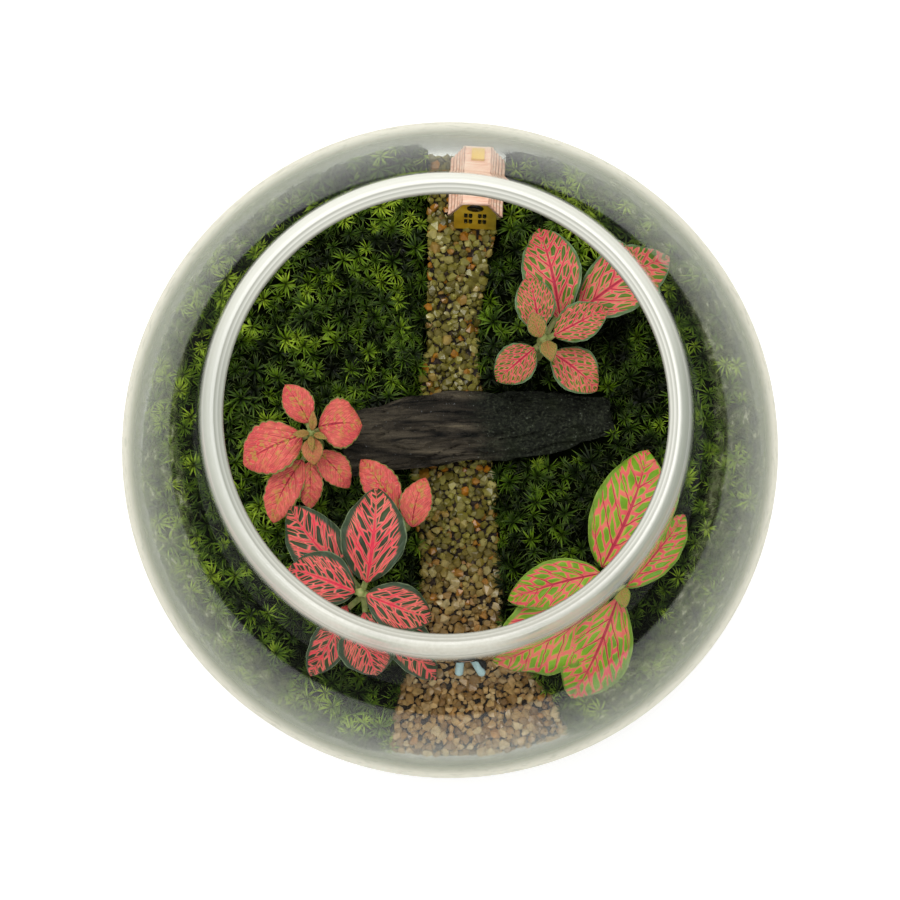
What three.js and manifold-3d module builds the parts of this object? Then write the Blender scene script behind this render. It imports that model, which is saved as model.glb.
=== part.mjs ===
// A planted glass terrarium: a round open glass bowl that holds a bed of drainage gravel, soil, two carpets of
// star moss, a gravel path, a dark stone lying across the path, five veined-leaf plants, a small painted house
// and a small seated figure.
// Millimetres, +Z up, origin at the centre of the bowl's foot. -Y is the front, where the path widens.

import * as THREE from "three";
import { mergeVertices } from "three/addons/utils/BufferGeometryUtils.js";
import Module from "manifold-3d";

const wasm = await Module();
wasm.setup();

// ---------------------------------------------------------------- driving dimensions

const TOUCH_GAP = 0.3; // clearance between two pieces that rest on each other
const WALL_GAP = 0.35; // clearance between the filling and the glass

const BOWL = {
  radius: 75,
  wall: 2.2,
  shoulder: 1.2, // how much thicker the wall grows from the widest ring to the top of the sphere
  centreHeight: 62,
  footRadius: 38,
  floor: 5,
  lipRadius: 45.1,
  lipHeight: 121.2,
  lipBead: 2.15,
  segments: 36,
};
const INNER_RADIUS = BOWL.radius - BOWL.wall;

const DRAINAGE_TOP = 18;
const SOIL = { height: 49, rise: 0.05 }; // height of its top at the middle, and its rise per mm towards the back
const GRAVEL = { thickness: 4.4, bank: 6, bankStart: 28, bankEnd: 52, pebble: 3.1, spacing: 5.7 };
const MOSS = {
  thickness: 9.8,
  shoulder: 6,
  swell: 0.9,
  climb: 6, // how far it climbs the glass, and how much more per mm towards the back
  climbBack: 0.08,
  climbStart: 52,
  climbWidth: 18,
  shootRadius: 6,
  shootSpacing: 11.8,
};

const STEM_RADIUS = 1.1;
const STEM_FOOT = 43; // height of the stems' lower ends, inside the soil
const LEAF_THICKNESS = 0.8;
const LEAF_RIPPLE = 0.03; // how far the blade's edges rise and fall, as a share of its length

// The path's two edges from the house to the front glass, as points [x, y].
const PATH_LEFT = [[-5, 62], [-5.2, 45], [-5.8, 27], [-8.5, 6], [-9.5, -8], [-7, -27], [-8, -45], [-13, -58], [-16, -80]];
const PATH_RIGHT = [[13.2, 62], [8.5, 45], [6.4, 27], [9, 6], [10.8, -8], [11.8, -27], [13, -45], [25, -58], [33, -80]];

const STONE = { centre: [6.3, 5.4, 59.2], turn: 8, length: 65, width: 18.6, thickness: 9 };

const HOUSE = {
  centre: [6.3, 60.1, 60.6],
  lean: 11,
  turn: -3,
  width: 10,
  depth: 13.6,
  wallHeight: 8.2,
  ridgeHeight: 14,
  roofWidth: 12.8,
  roofFlat: 5.4,
  roofThickness: 1,
  overhang: 0.7,
  chimney: 3,
  chimneyInset: 1.9, // from the rear wall to the chimney's middle
  windowRows: [3.8, 6.6],
};

const FIGURE = { foot: [3.6, -46, 0], headRadius: 2, bodyRadius: 2.6, bodyHeight: 6.4, legRadius: 1, legLength: 6.2 };

// Each plant stands on one stem. A leaf is given by its base and tip as [x, y, z], its width, its arch (how far the
// middle stands above the straight line, as a share of the length), its fold along the midrib, and its roll.
const PLANTS = {
  plant_rear: {
    foot: [21, 23],
    leaves: [
      { base: [25.4, 28.4, 75], tip: [20.6, 50.4, 74], width: 13.5, arch: 0.16, fold: 0.12, roll: -8 },
      { base: [29.6, 30.2, 73], tip: [50.7, 43.3, 73.5], width: 14.5, arch: 0.15, fold: 0.1, roll: 6 },
      { base: [20.2, 25, 78.5], tip: [17.9, 37.4, 79.5], width: 9.2, arch: 0.1, fold: 0.12, roll: 0 },
      { base: [23.6, 23.6, 79], tip: [35.8, 29.8, 80], width: 8.8, arch: 0.1, fold: 0.14, roll: 0 },
      { base: [20.6, 22.8, 80.8], tip: [18.7, 28, 83], width: 4.4, arch: 0.1, fold: 0.3, roll: 0 },
      { base: [22, 22, 80.8], tip: [22.8, 17.2, 82.6], width: 4, arch: 0.1, fold: 0.3, roll: 0 },
      { base: [19.4, 21.6, 75], tip: [10.6, 14.6, 72], width: 9.4, arch: 0.12, fold: 0.1, roll: 0 },
      { base: [23.6, 20.8, 73.5], tip: [34, 12.4, 71], width: 10.4, arch: 0.12, fold: 0.1, roll: 0 },
    ],
  },
  plant_left: {
    foot: [-31, 2],
    leaves: [
      { base: [-31.6, 4.4, 76], tip: [-37, 13, 77], width: 7.2, arch: 0.12, fold: 0.22, roll: 0 },
      { base: [-29.4, 3.4, 76.4], tip: [-19.6, 4.2, 74], width: 11.8, arch: 0.14, fold: 0.08, roll: 0 },
      { base: [-33.2, 1.6, 75.6], tip: [-47, -4.8, 73], width: 12.4, arch: 0.14, fold: 0.08, roll: 0 },
      { base: [-30.6, 0.8, 77.6], tip: [-30.2, -5.4, 77.6], width: 5, arch: 0.12, fold: 0.25, roll: 0 },
      { base: [-30, -1.4, 70.6], tip: [-23, -9.6, 68.4], width: 7.2, arch: 0.14, fold: 0.2, roll: 0 },
      { base: [-33.6, -3.4, 70.6], tip: [-41, -17.6, 66.6], width: 8.4, arch: 0.14, fold: 0.2, roll: 0 },
      { base: [-31.8, -3.6, 70.2], tip: [-32.2, -14.4, 67.2], width: 6.2, arch: 0.12, fold: 0.22, roll: 0 },
    ],
  },
  plant_sprout: {
    foot: [-10.6, -17.6],
    leaves: [
      { base: [-12, -15.2, 68.4], tip: [-20.4, -3, 69], width: 8.4, arch: 0.14, fold: 0.18, roll: 0 },
      { base: [-8.6, -18.6, 68.4], tip: [-5.6, -7.4, 69.6], width: 7.6, arch: 0.16, fold: 0.16, roll: 0 },
    ],
  },
  plant_front_left: {
    foot: [-19, -34],
    leaves: [
      { base: [-17.8, -31.8, 82.5], tip: [-15.8, -10.8, 82], width: 14.4, arch: 0.12, fold: 0.08, roll: 0 },
      { base: [-21.4, -30.8, 77.6], tip: [-36.2, -14.2, 75], width: 12.2, arch: 0.13, fold: 0.08, roll: 0 },
      { base: [-20.2, -34, 85], tip: [-35, -28.6, 83.5], width: 12, arch: 0.13, fold: 0.1, roll: 0 },
      { base: [-17.6, -34.6, 85.4], tip: [-3.4, -39.8, 82], width: 10.6, arch: 0.13, fold: 0.1, roll: 0 },
      { base: [-22.8, -36.6, 74.6], tip: [-31, -51.8, 71], width: 8.2, arch: 0.14, fold: 0.12, roll: 0 },
      { base: [-18.8, -38.2, 77], tip: [-15.8, -51.6, 73.4], width: 13, arch: 0.14, fold: 0.08, roll: 0 },
      { base: [-15.6, -36.6, 73], tip: [-3, -52.8, 68.6], width: 9.6, arch: 0.14, fold: 0.1, roll: 0 },
    ],
  },
  plant_front_right: {
    foot: [36, -31.4],
    leaves: [
      { base: [33.6, -28.4, 79.6], tip: [44.4, -2.2, 79.6], width: 16.4, arch: 0.12, fold: 0.1, roll: 0 },
      { base: [33.4, -31.2, 76], tip: [9.6, -49.4, 67.4], width: 17.6, arch: 0.16, fold: 0.08, roll: -10 },
      { base: [33.2, -29.8, 82], tip: [12.8, -35.6, 80], width: 10.6, arch: 0.13, fold: 0.2, roll: 0 },
      { base: [38.2, -32.4, 80], tip: [51.8, -16.2, 78], width: 9, arch: 0.14, fold: 0.32, roll: 0 },
      { base: [36.8, -34.6, 77], tip: [26.6, -56.8, 70], width: 14.4, arch: 0.15, fold: 0.1, roll: 6 },
      { base: [36.8, -32, 81.8], tip: [37.6, -36.6, 83.4], width: 3.6, arch: 0.1, fold: 0.3, roll: 0 },
    ],
  },
};

const COLOURS = {
  glass: 0xdfe8e4,
  gravel: 0xb59a68,
  soil: 0x241b14,
  moss: 0x3c6414,
  stone: 0x2c2826,
  roof: 0xeebfa6,
  walls: 0xb98a1c,
  figure: 0xa9c2c6,
  plant_rear: 0xd85a6e,
  plant_left: 0xe0606a,
  plant_sprout: 0xd8585e,
  plant_front_left: 0xb44a55,
  plant_front_right: 0xa8a83c,
};

// ---------------------------------------------------------------- helpers

const radians = THREE.MathUtils.degToRad;
const group = new THREE.Group();

// A repeatable random source, so that every run places the same pebbles and shoots.
function randomSource(seed) {
  let state = seed;
  return () => {
    state = (state + 0x6d2b79f5) | 0;
    let t = Math.imul(state ^ (state >>> 15), 1 | state);
    t = (t + Math.imul(t ^ (t >>> 7), 61 | t)) ^ t;
    return ((t ^ (t >>> 14)) >>> 0) / 4294967296;
  };
}

// A closed three.js geometry as a solid.
function solidOf(geometry) {
  const bare = geometry.index ? geometry.toNonIndexed() : geometry.clone();
  bare.deleteAttribute("normal");
  bare.deleteAttribute("uv");
  const merged = mergeVertices(bare, 1e-4);
  return new wasm.Manifold(
    new wasm.Mesh({
      numProp: 3,
      vertProperties: new Float32Array(merged.attributes.position.array),
      triVerts: new Uint32Array(merged.index.array),
    }),
  );
}

// A solid as a three.js geometry.
function geometryOf(solid) {
  const mesh = solid.getMesh();
  const geometry = new THREE.BufferGeometry();
  geometry.setAttribute("position", new THREE.BufferAttribute(mesh.vertProperties, 3));
  geometry.setIndex(new THREE.BufferAttribute(mesh.triVerts, 1));
  return geometry.toNonIndexed();
}

// The largest connected body, without the scraps that a cut leaves.
function largestBody(solid) {
  return solid.decompose().reduce((best, body) => (body.volume() > best.volume() ? body : best));
}

function addNode(name, solid, colour, roughness = 0.6, opacity = 1) {
  const geometry = geometryOf(solid);
  geometry.computeVertexNormals();
  const material = new THREE.MeshStandardMaterial({
    color: colour,
    roughness,
    metalness: 0,
    transparent: opacity < 1,
    opacity,
  });
  const mesh = new THREE.Mesh(geometry, material);
  mesh.name = name;
  group.add(mesh);
}

// A profile of [radius, height] points, turned about the Z axis.
function turned(profile, segments = BOWL.segments) {
  const points = profile.map(([radius, height]) => new THREE.Vector2(radius, height));
  return solidOf(new THREE.LatheGeometry(points, segments).rotateX(Math.PI / 2));
}

function box(width, depth, height) {
  return new THREE.BoxGeometry(width, depth, height);
}

function tube(points, radius, sides = 6, steps = 3) {
  const section = new THREE.Shape();
  for (let i = 0; i < sides; i++) {
    const angle = (2 * Math.PI * i) / sides;
    if (i) section.lineTo(radius * Math.cos(angle), radius * Math.sin(angle));
    else section.moveTo(radius, 0);
  }
  const path = new THREE.CatmullRomCurve3(points.map((p) => new THREE.Vector3(...p)));
  return solidOf(new THREE.ExtrudeGeometry(section, { steps, bevelEnabled: false, extrudePath: path }));
}

// ---------------------------------------------------------------- the glass bowl

const latitudes = [-50, -37.5, -25, -12.5, 0, 12.5, 25, 37.5, 48];

function onSphere(radius, latitude) {
  const angle = radians(latitude);
  return [radius * Math.cos(angle), BOWL.centreHeight + radius * Math.sin(angle)];
}

// A point of the bowl's inner face, or of a surface that lies a gap inside it.
function onInside(latitude, gap = 0) {
  const wall = BOWL.wall + BOWL.shoulder * Math.max(0, Math.sin(radians(latitude)));
  return onSphere(BOWL.radius - wall - gap, latitude);
}

function makeBowl() {
  const lip = [];
  for (let angle = -40; angle <= 220; angle += 40)
    lip.push([
      BOWL.lipRadius + BOWL.lipBead * Math.cos(radians(angle)),
      BOWL.lipHeight + BOWL.lipBead * Math.sin(radians(angle)),
    ]);
  const outside = latitudes.map((latitude) => onSphere(BOWL.radius, latitude));
  const inside = latitudes.map((latitude) => onInside(latitude)).reverse();
  const foot = [[0, 0], [BOWL.footRadius, 0], [BOWL.footRadius + 5, 1.4]];
  const floor = [[BOWL.footRadius + 1, BOWL.floor + 0.6], [BOWL.footRadius - 2, BOWL.floor], [0, BOWL.floor]];
  return turned([...foot, ...outside, ...lip, ...inside, ...floor]);
}

// The room inside the glass, clear of it all round, up to a little above the bowl's widest ring.
function cavity() {
  const side = latitudes.filter((latitude) => latitude <= 25).map((latitude) => onInside(latitude, WALL_GAP));
  const bottom = BOWL.floor + WALL_GAP;
  return turned([
    [0, bottom],
    [BOWL.footRadius - 2 - WALL_GAP, bottom],
    [BOWL.footRadius + 1 - WALL_GAP, bottom + 0.6],
    ...side,
    [0, side.at(-1)[1]],
  ]);
}

// ---------------------------------------------------------------- the ground

const soilTop = (y) => SOIL.height + SOIL.rise * y;

// Everything above the soil's sloping top, raised by an offset.
function aboveSoil(offset) {
  const slab = box(200, 200, 100);
  slab.translate(0, 0, 50);
  slab.rotateX(Math.atan(SOIL.rise));
  slab.translate(0, 0, SOIL.height + offset);
  return solidOf(slab);
}

function slabBetween(low, high) {
  return solidOf(box(200, 200, high - low).translate(0, 0, (low + high) / 2));
}

// A block whose top follows a height formula.
function reliefBlock(height, cell) {
  const size = 2 * (BOWL.radius + 1);
  const cells = Math.round(size / cell);
  const block = new THREE.BoxGeometry(size, size, 1, cells, cells, 1);
  const position = block.attributes.position;
  for (let i = 0; i < position.count; i++)
    position.setZ(i, position.getZ(i) > 0 ? height(position.getX(i), position.getY(i)) : SOIL.height - 10);
  return solidOf(block);
}

// The path's plan outline, grown sideways, as an upright prism.
function pathPrism(grow) {
  const edge = (points, side) =>
    new THREE.CatmullRomCurve3(points.map(([x, y]) => new THREE.Vector3(x + side * grow, y, 0))).getPoints(16);
  const outline = new THREE.Shape(
    [...edge(PATH_LEFT, -1), ...edge(PATH_RIGHT, 1).reverse()].map((p) => new THREE.Vector2(p.x, p.y)),
  );
  return solidOf(new THREE.ExtrudeGeometry(outline, { depth: 60, bevelEnabled: false }).translate(0, 0, 30));
}

// Distance from the path's nearer edge, positive on the moss.
const leftEdge = new THREE.CatmullRomCurve3(PATH_LEFT.map(([x, y]) => new THREE.Vector3(x, y, 0))).getPoints(60);
const rightEdge = new THREE.CatmullRomCurve3(PATH_RIGHT.map(([x, y]) => new THREE.Vector3(x, y, 0))).getPoints(60);
const edgeX = (edge, y) => edge.reduce((near, p) => (Math.abs(p.y - y) < Math.abs(near.y - y) ? p : near)).x;
const beyondPath = (x, y) => Math.max(edgeX(leftEdge, y) - x, x - edgeX(rightEdge, y));

// The moss is a swelling cushion that rounds down to the path and climbs the glass, most at the back.
function mossHeight(x, y) {
  const rounding = Math.min(1, Math.max(0, beyondPath(x, y)) / MOSS.shoulder);
  const swell = MOSS.swell * (Math.sin(0.17 * x + 0.6) * Math.cos(0.21 * y) + Math.sin(0.11 * y - 0.13 * x));
  const edge = 0.55 + 0.45 * Math.sqrt(1 - (1 - rounding) ** 2);
  const nearness = THREE.MathUtils.clamp((Math.hypot(x, y) - MOSS.climbStart) / MOSS.climbWidth, 0, 1);
  const climb = nearness ** 2 * (MOSS.climb + MOSS.climbBack * y);
  return soilTop(y) + MOSS.thickness * edge + swell * rounding + climb;
}

// The path rises to a bank at the back, which carries the house.
function gravelHeight(x, y) {
  const bank = GRAVEL.bank * THREE.MathUtils.smoothstep(y, GRAVEL.bankStart, GRAVEL.bankEnd);
  return soilTop(y) + GRAVEL.thickness + bank + 0.35 * Math.sin(0.5 * x) * Math.cos(0.4 * y);
}

// One pebble: a rough broken grain.
function pebble(random, radius) {
  const lump = new THREE.OctahedronGeometry(radius, 0);
  lump.scale(0.9 + 0.4 * random(), 0.9 + 0.4 * random(), 0.7 + 0.3 * random());
  lump.rotateX(3 * random());
  lump.rotateZ(6 * random());
  return lump;
}

function makePathGravel(bed) {
  const random = randomSource(11);
  const pebbles = [];
  for (let y = -70; y < 56; y += GRAVEL.spacing)
    for (let x = -16; x < 34; x += GRAVEL.spacing) {
      const px = x + (random() - 0.5) * 1.6 + (Math.round(y / GRAVEL.spacing) % 2) * 1.9;
      const py = y + (random() - 0.5) * 1.6;
      const lump = pebble(random, GRAVEL.pebble * (0.75 + 0.4 * random()));
      if (beyondPath(px, py) < -1.2 && Math.hypot(px, py) < 67)
        pebbles.push(solidOf(lump.translate(px, py, gravelHeight(px, py) - 0.2)));
    }
  const block = reliefBlock(gravelHeight, 15.2).intersect(pathPrism(-TOUCH_GAP / 2));
  return largestBody(
    wasm.Manifold.union([block, ...pebbles]).intersect(pathPrism(-TOUCH_GAP / 2)).intersect(bed),
  );
}

// One shoot of star moss: a five-pointed star of leaves over a short cone.
function mossShoot(random, radius) {
  const points = 5;
  const rim = 2 * points;
  const positions = [];
  const start = 6 * random();
  const corner = (i) => {
    const angle = start + (2 * Math.PI * i) / rim;
    const reach = i % 2 ? 0.42 * radius : radius * (0.85 + 0.3 * random());
    return [reach * Math.cos(angle), reach * Math.sin(angle), i % 2 ? 0.2 * radius : 0.45 * radius];
  };
  const corners = Array.from({ length: rim }, (_, i) => corner(i));
  const top = [0, 0, 0.62 * radius];
  const bottom = [0, 0, -0.9 * radius];
  for (let i = 0; i < rim; i++) {
    const next = corners[(i + 1) % rim];
    positions.push(...top, ...corners[i], ...next, ...bottom, ...next, ...corners[i]);
  }
  const star = new THREE.BufferGeometry();
  star.setAttribute("position", new THREE.Float32BufferAttribute(positions, 3));
  return star;
}

// A moss carpet on one side of the path, which its shoots cover.
function makeMoss(side, bed, seed) {
  const random = randomSource(seed);
  const shoots = [];
  const reach = INNER_RADIUS - 5.8;
  let row = 0;
  for (let y = -reach; y <= reach; y += MOSS.shootSpacing * 0.87) {
    row += 1;
    for (let x = -reach; x <= reach; x += MOSS.shootSpacing) {
      const px = x + (row % 2) * MOSS.shootSpacing * 0.5 + (random() - 0.5) * 2.4;
      const py = y + (random() - 0.5) * 2.4;
      const star = mossShoot(random, MOSS.shootRadius * (0.8 + 0.4 * random()));
      star.rotateX(0.35 * (random() - 0.5)).rotateY(0.35 * (random() - 0.5));
      if (Math.hypot(px, py) < reach && beyondPath(px, py) > 1.4 && side * (px - 2) > 0)
        shoots.push(solidOf(star.translate(px, py, mossHeight(px, py) + 0.5)));
    }
  }
  const half = solidOf(box(100, 200, 60).translate(2 + side * 50, 0, SOIL.height + 10));
  const cushion = reliefBlock(mossHeight, 10.9).intersect(half);
  return wasm.Manifold.union([cushion, ...shoots]).intersect(half).subtract(pathPrism(TOUCH_GAP / 2)).intersect(bed);
}

// ---------------------------------------------------------------- the stone across the path

// A long split stone, lofted through ten-sided sections. The offset grows it on all sides, to cut its bed.
function makeStone(offset) {
  const sections = 13;
  const sides = 10;
  const random = randomSource(5);
  const rough = Array.from({ length: sections * sides }, () => 1 + 0.14 * (random() - 0.5));
  const positions = [];
  const point = (i, j) => {
    const t = i / (sections - 1);
    const along = (t - 0.5) * (STONE.length + 2 * offset);
    const taper = 0.52 + 0.48 * Math.sin(Math.PI * Math.min(1, 0.12 + 0.95 * t)) ** 0.5;
    const angle = (2 * Math.PI * (j % sides)) / sides;
    const lump = rough[i * sides + (j % sides)];
    const across = (STONE.width / 2) * taper * lump * Math.cos(angle);
    const up = (STONE.thickness / 2) * taper * lump * Math.sin(angle);
    return [
      along + 1.5 * Math.sin(angle * 2) * (t - 0.5),
      across + offset * Math.cos(angle) + 1.2 * Math.sin(5 * t),
      up + offset * Math.sin(angle),
    ];
  };
  const middle = (i) => {
    const ring = Array.from({ length: sides }, (_, j) => point(i, j));
    return [0, 1, 2].map((k) => ring.reduce((sum, p) => sum + p[k], 0) / sides);
  };
  for (let j = 0; j < sides; j++) {
    positions.push(...middle(0), ...point(0, j + 1), ...point(0, j));
    positions.push(...middle(sections - 1), ...point(sections - 1, j), ...point(sections - 1, j + 1));
    for (let i = 0; i < sections - 1; i++) {
      const [a, b, c, d] = [point(i, j), point(i, j + 1), point(i + 1, j + 1), point(i + 1, j)];
      positions.push(...a, ...b, ...c, ...a, ...c, ...d);
    }
  }
  const stone = new THREE.BufferGeometry();
  stone.setAttribute("position", new THREE.Float32BufferAttribute(positions, 3));
  stone.rotateZ(radians(STONE.turn)).translate(...STONE.centre);
  return solidOf(stone);
}

// ---------------------------------------------------------------- the house

// Puts a geometry made about the house's own foot into its place, leaning back against the glass.
function atHouse(geometry) {
  return geometry.rotateX(radians(-HOUSE.lean)).rotateZ(radians(HOUSE.turn)).translate(...HOUSE.centre);
}

// A prism along Y through points [x, z].
function gable(points, depth) {
  const outline = new THREE.Shape(points.map(([x, z]) => new THREE.Vector2(x, z)));
  return new THREE.ExtrudeGeometry(outline, { depth, bevelEnabled: false }).rotateX(Math.PI / 2).translate(0, depth / 2, 0);
}

function makeHouseWalls() {
  const half = HOUSE.width / 2;
  const flat = HOUSE.roofFlat / 2;
  const under = HOUSE.ridgeHeight - HOUSE.roofThickness - TOUCH_GAP;
  const body = solidOf(
    atHouse(gable([[-half, 0], [half, 0], [half, HOUSE.wallHeight], [flat, under], [-flat, under], [-half, HOUSE.wallHeight]], HOUSE.depth)),
  );
  const front = -HOUSE.depth / 2;
  const chimneyHeight = HOUSE.ridgeHeight + 0.8 - (under - 1);
  const chimney = box(HOUSE.chimney, HOUSE.chimney, chimneyHeight)
    .translate(0, HOUSE.depth / 2 - HOUSE.chimneyInset, under - 1 + chimneyHeight / 2);
  const attic = new THREE.CylinderGeometry(1.9, 1.9, 0.8, 12).scale(1, 1, 0.8).translate(0, front, 10.2);
  const panes = [];
  for (const x of [-2.2, -1.1, 1.1, 2.2])
    for (const z of HOUSE.windowRows) panes.push(box(0.9, 0.8, 2.1).translate(x, front, z));
  return wasm.Manifold.union([body, solidOf(atHouse(chimney))])
    .subtract(wasm.Manifold.union([attic, ...panes].map((cut) => solidOf(atHouse(cut)))));
}

// The roof has a flat crown and two ribbed slopes, and a square hole for the chimney.
function makeHouseRoof() {
  const half = HOUSE.roofWidth / 2;
  const flat = HOUSE.roofFlat / 2;
  const ribs = 4;
  const eave = HOUSE.wallHeight - 0.6;
  const slope = (side) => {
    const points = [];
    for (let i = 0; i <= ribs * 2; i++) {
      const t = i / (ribs * 2);
      const rib = i % 2 ? 0.45 : 0;
      const x = side * (flat + 0.5 + t * (half - flat - 0.5) + rib);
      points.push([x, HOUSE.ridgeHeight - t * (HOUSE.ridgeHeight - eave) + 0.6 * rib]);
    }
    return points;
  };
  const inside = (side) => [
    [side * (HOUSE.width / 2 + 0.7), eave],
    [side * (flat + 0.18), HOUSE.ridgeHeight - HOUSE.roofThickness],
  ];
  const outline = [...slope(1), ...inside(1), ...inside(-1).reverse(), ...slope(-1).reverse()];
  const depth = HOUSE.depth + 2 * HOUSE.overhang;
  const hole = box(HOUSE.chimney + 2 * TOUCH_GAP, HOUSE.chimney + 2 * TOUCH_GAP, 6)
    .translate(0, HOUSE.depth / 2 - HOUSE.chimneyInset, HOUSE.ridgeHeight);
  return solidOf(atHouse(gable(outline, depth))).subtract(solidOf(atHouse(hole)));
}

// The hollow that the walls and the roof take out of the gravel and the moss.
const houseBed = () => {
  const { width, depth, wallHeight, roofWidth, overhang } = HOUSE;
  const walls = box(width + 2 * TOUCH_GAP, depth + 2 * TOUCH_GAP, wallHeight);
  const roof = box(roofWidth + 2 * TOUCH_GAP, depth + 2 * (overhang + TOUCH_GAP), wallHeight);
  return wasm.Manifold.union([
    solidOf(atHouse(walls.translate(0, 0, wallHeight / 2 - TOUCH_GAP))),
    solidOf(atHouse(roof.translate(0, 0, 1.5 * wallHeight - 2))),
  ]);
};

// ---------------------------------------------------------------- the seated figure

function makeFigure() {
  const [x, y] = FIGURE.foot;
  const seat = gravelHeight(x, y) + 1.4;
  const body = turned(
    [[0, 0], [FIGURE.bodyRadius, 0], [FIGURE.bodyRadius, 1.6], [1.5, FIGURE.bodyHeight], [0, FIGURE.bodyHeight + 0.4]],
    12,
  ).translate([x, y, seat]);
  const head = solidOf(
    new THREE.SphereGeometry(FIGURE.headRadius, 12, 8).rotateX(Math.PI / 2)
      .translate(x, y, seat + FIGURE.bodyHeight + 1.5),
  );
  const leg = (side) => {
    const knee = [x + side * 1.3, y - 2.4, seat + 1.3];
    return tube([[x + side * 1.1, y, seat + 1.1], knee, [x + side * 1.7, y - FIGURE.legLength, seat + 0.9]], FIGURE.legRadius, 8, 4);
  };
  return wasm.Manifold.union([body, head, leg(-1), leg(1)]);
}

const figureBed = () => {
  const [x, y] = FIGURE.foot;
  const width = 2 * FIGURE.bodyRadius + 1.4;
  return solidOf(box(width, 10.4, 12).translate(x, y - 2, gravelHeight(x, y) + 1.4 - TOUCH_GAP + 6));
};

// ---------------------------------------------------------------- the plants

// Half the leaf's width at a share v of its length: broad below the middle, rounded at the base, blunt-pointed.
const leafHalfWidth = (v, width) => (width / 2) * (0.05 + 0.95 * Math.sin(Math.PI * v ** 0.9) ** 0.75);

// A closed thin blade from its base to its tip, arched along its length and folded along its midrib.
function leafBlade({ base, tip, width, arch, fold, roll }) {
  const start = new THREE.Vector3(...base);
  const axis = new THREE.Vector3(...tip).sub(start);
  const length = axis.length();
  const along = length > 14 ? 6 : 4;
  const across = length > 8 ? 4 : 2;
  const forward = axis.clone().normalize();
  const side = new THREE.Vector3().crossVectors(forward, new THREE.Vector3(0, 0, 1)).normalize();
  side.applyAxisAngle(forward, radians(roll));
  const up = new THREE.Vector3().crossVectors(side, forward).normalize();
  const surface = (i, j, face) => {
    const v = i / along;
    const u = (2 * j) / across - 1;
    const half = Math.max(0.5, leafHalfWidth(v, width));
    const ripple = LEAF_RIPPLE * length * Math.sin(3 * Math.PI * v) * u * Math.abs(u);
    const lift = 4 * arch * length * v * (1 - v) + fold * half * Math.abs(u) + ripple + face * LEAF_THICKNESS;
    return start.clone().addScaledVector(forward, v * length).addScaledVector(side, u * half).addScaledVector(up, lift);
  };
  const positions = [];
  const face = (...points) => points.forEach((p) => positions.push(p.x, p.y, p.z));
  for (let i = 0; i < along; i++)
    for (let j = 0; j < across; j++)
      for (const layer of [0, -1]) {
        const [a, b, c, d] = [[i, j], [i, j + 1], [i + 1, j + 1], [i + 1, j]].map(([m, n]) => surface(m, n, layer));
        if (layer) face(a, d, c, a, c, b);
        else face(a, b, c, a, c, d);
      }
  const wall = (from, to) => {
    const [a, b] = [surface(...from, 0), surface(...to, 0)];
    const [c, d] = [surface(...to, -1), surface(...from, -1)];
    face(a, d, c, a, c, b);
  };
  for (let i = 0; i < along; i++) {
    wall([i + 1, 0], [i, 0]);
    wall([i, across], [i + 1, across]);
  }
  for (let j = 0; j < across; j++) {
    wall([0, j], [0, j + 1]);
    wall([along, j + 1], [along, j]);
  }
  const blade = new THREE.BufferGeometry();
  blade.setAttribute("position", new THREE.Float32BufferAttribute(positions, 3));
  return solidOf(blade);
}

// One plant: a stem with a leaf stalk to each blade, all grown together.
function makePlant({ foot, leaves }) {
  const crown = Math.max(...leaves.map((leaf) => leaf.base[2])) - 0.2;
  const pieces = [tube([[...foot, STEM_FOOT], [...foot, crown]], STEM_RADIUS, 7, 1)];
  for (const leaf of leaves) {
    const base = new THREE.Vector3(...leaf.base);
    const reach = new THREE.Vector3(...leaf.tip).sub(base).setLength(1.6);
    const socket = [foot[0], foot[1], Math.min(crown - 0.6, leaf.base[2] - 2)];
    pieces.push(tube([socket, [base.x + reach.x, base.y + reach.y, base.z + reach.z - 0.1]], 0.75, 5, 1));
    pieces.push(leafBlade(leaf));
  }
  return wasm.Manifold.union(pieces);
}

// A plain round hole for a stem, down into the soil.
function stemHole({ foot }) {
  const hole = new THREE.CylinderGeometry(STEM_RADIUS + 0.3, STEM_RADIUS + 0.3, 40, 8).rotateX(Math.PI / 2);
  return solidOf(hole.translate(foot[0], foot[1], STEM_FOOT - TOUCH_GAP + 20));
}

// ---------------------------------------------------------------- the terrarium

const room = cavity();
const stemHoles = wasm.Manifold.union(Object.values(PLANTS).map(stemHole));
const stone = makeStone(0);
const bed = room.intersect(aboveSoil(TOUCH_GAP));
const sunkThings = wasm.Manifold.union([makeStone(0.45), houseBed(), figureBed(), stemHoles]);

addNode("glass_bowl", makeBowl(), COLOURS.glass, 0.05, 0.3);
addNode("drainage_gravel", room.intersect(slabBetween(0, DRAINAGE_TOP)), COLOURS.gravel, 0.8);
addNode(
  "soil",
  room.subtract(slabBetween(0, DRAINAGE_TOP + TOUCH_GAP)).subtract(aboveSoil(0)).subtract(stemHoles),
  COLOURS.soil,
  0.95,
);
addNode("path_gravel", largestBody(makePathGravel(bed).subtract(sunkThings)), COLOURS.gravel, 0.5);
addNode("moss_left", largestBody(makeMoss(-1, bed, 21).subtract(sunkThings)), COLOURS.moss, 0.8);
addNode("moss_right", largestBody(makeMoss(1, bed, 22).subtract(sunkThings)), COLOURS.moss, 0.8);
addNode("stone", stone, COLOURS.stone, 0.7);
addNode("house_walls", makeHouseWalls(), COLOURS.walls, 0.5);
addNode("house_roof", makeHouseRoof(), COLOURS.roof, 0.6);
addNode("figure", makeFigure(), COLOURS.figure, 0.4);
for (const [name, plant] of Object.entries(PLANTS)) addNode(name, makePlant(plant), COLOURS[name], 0.55);

export default group;
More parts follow.
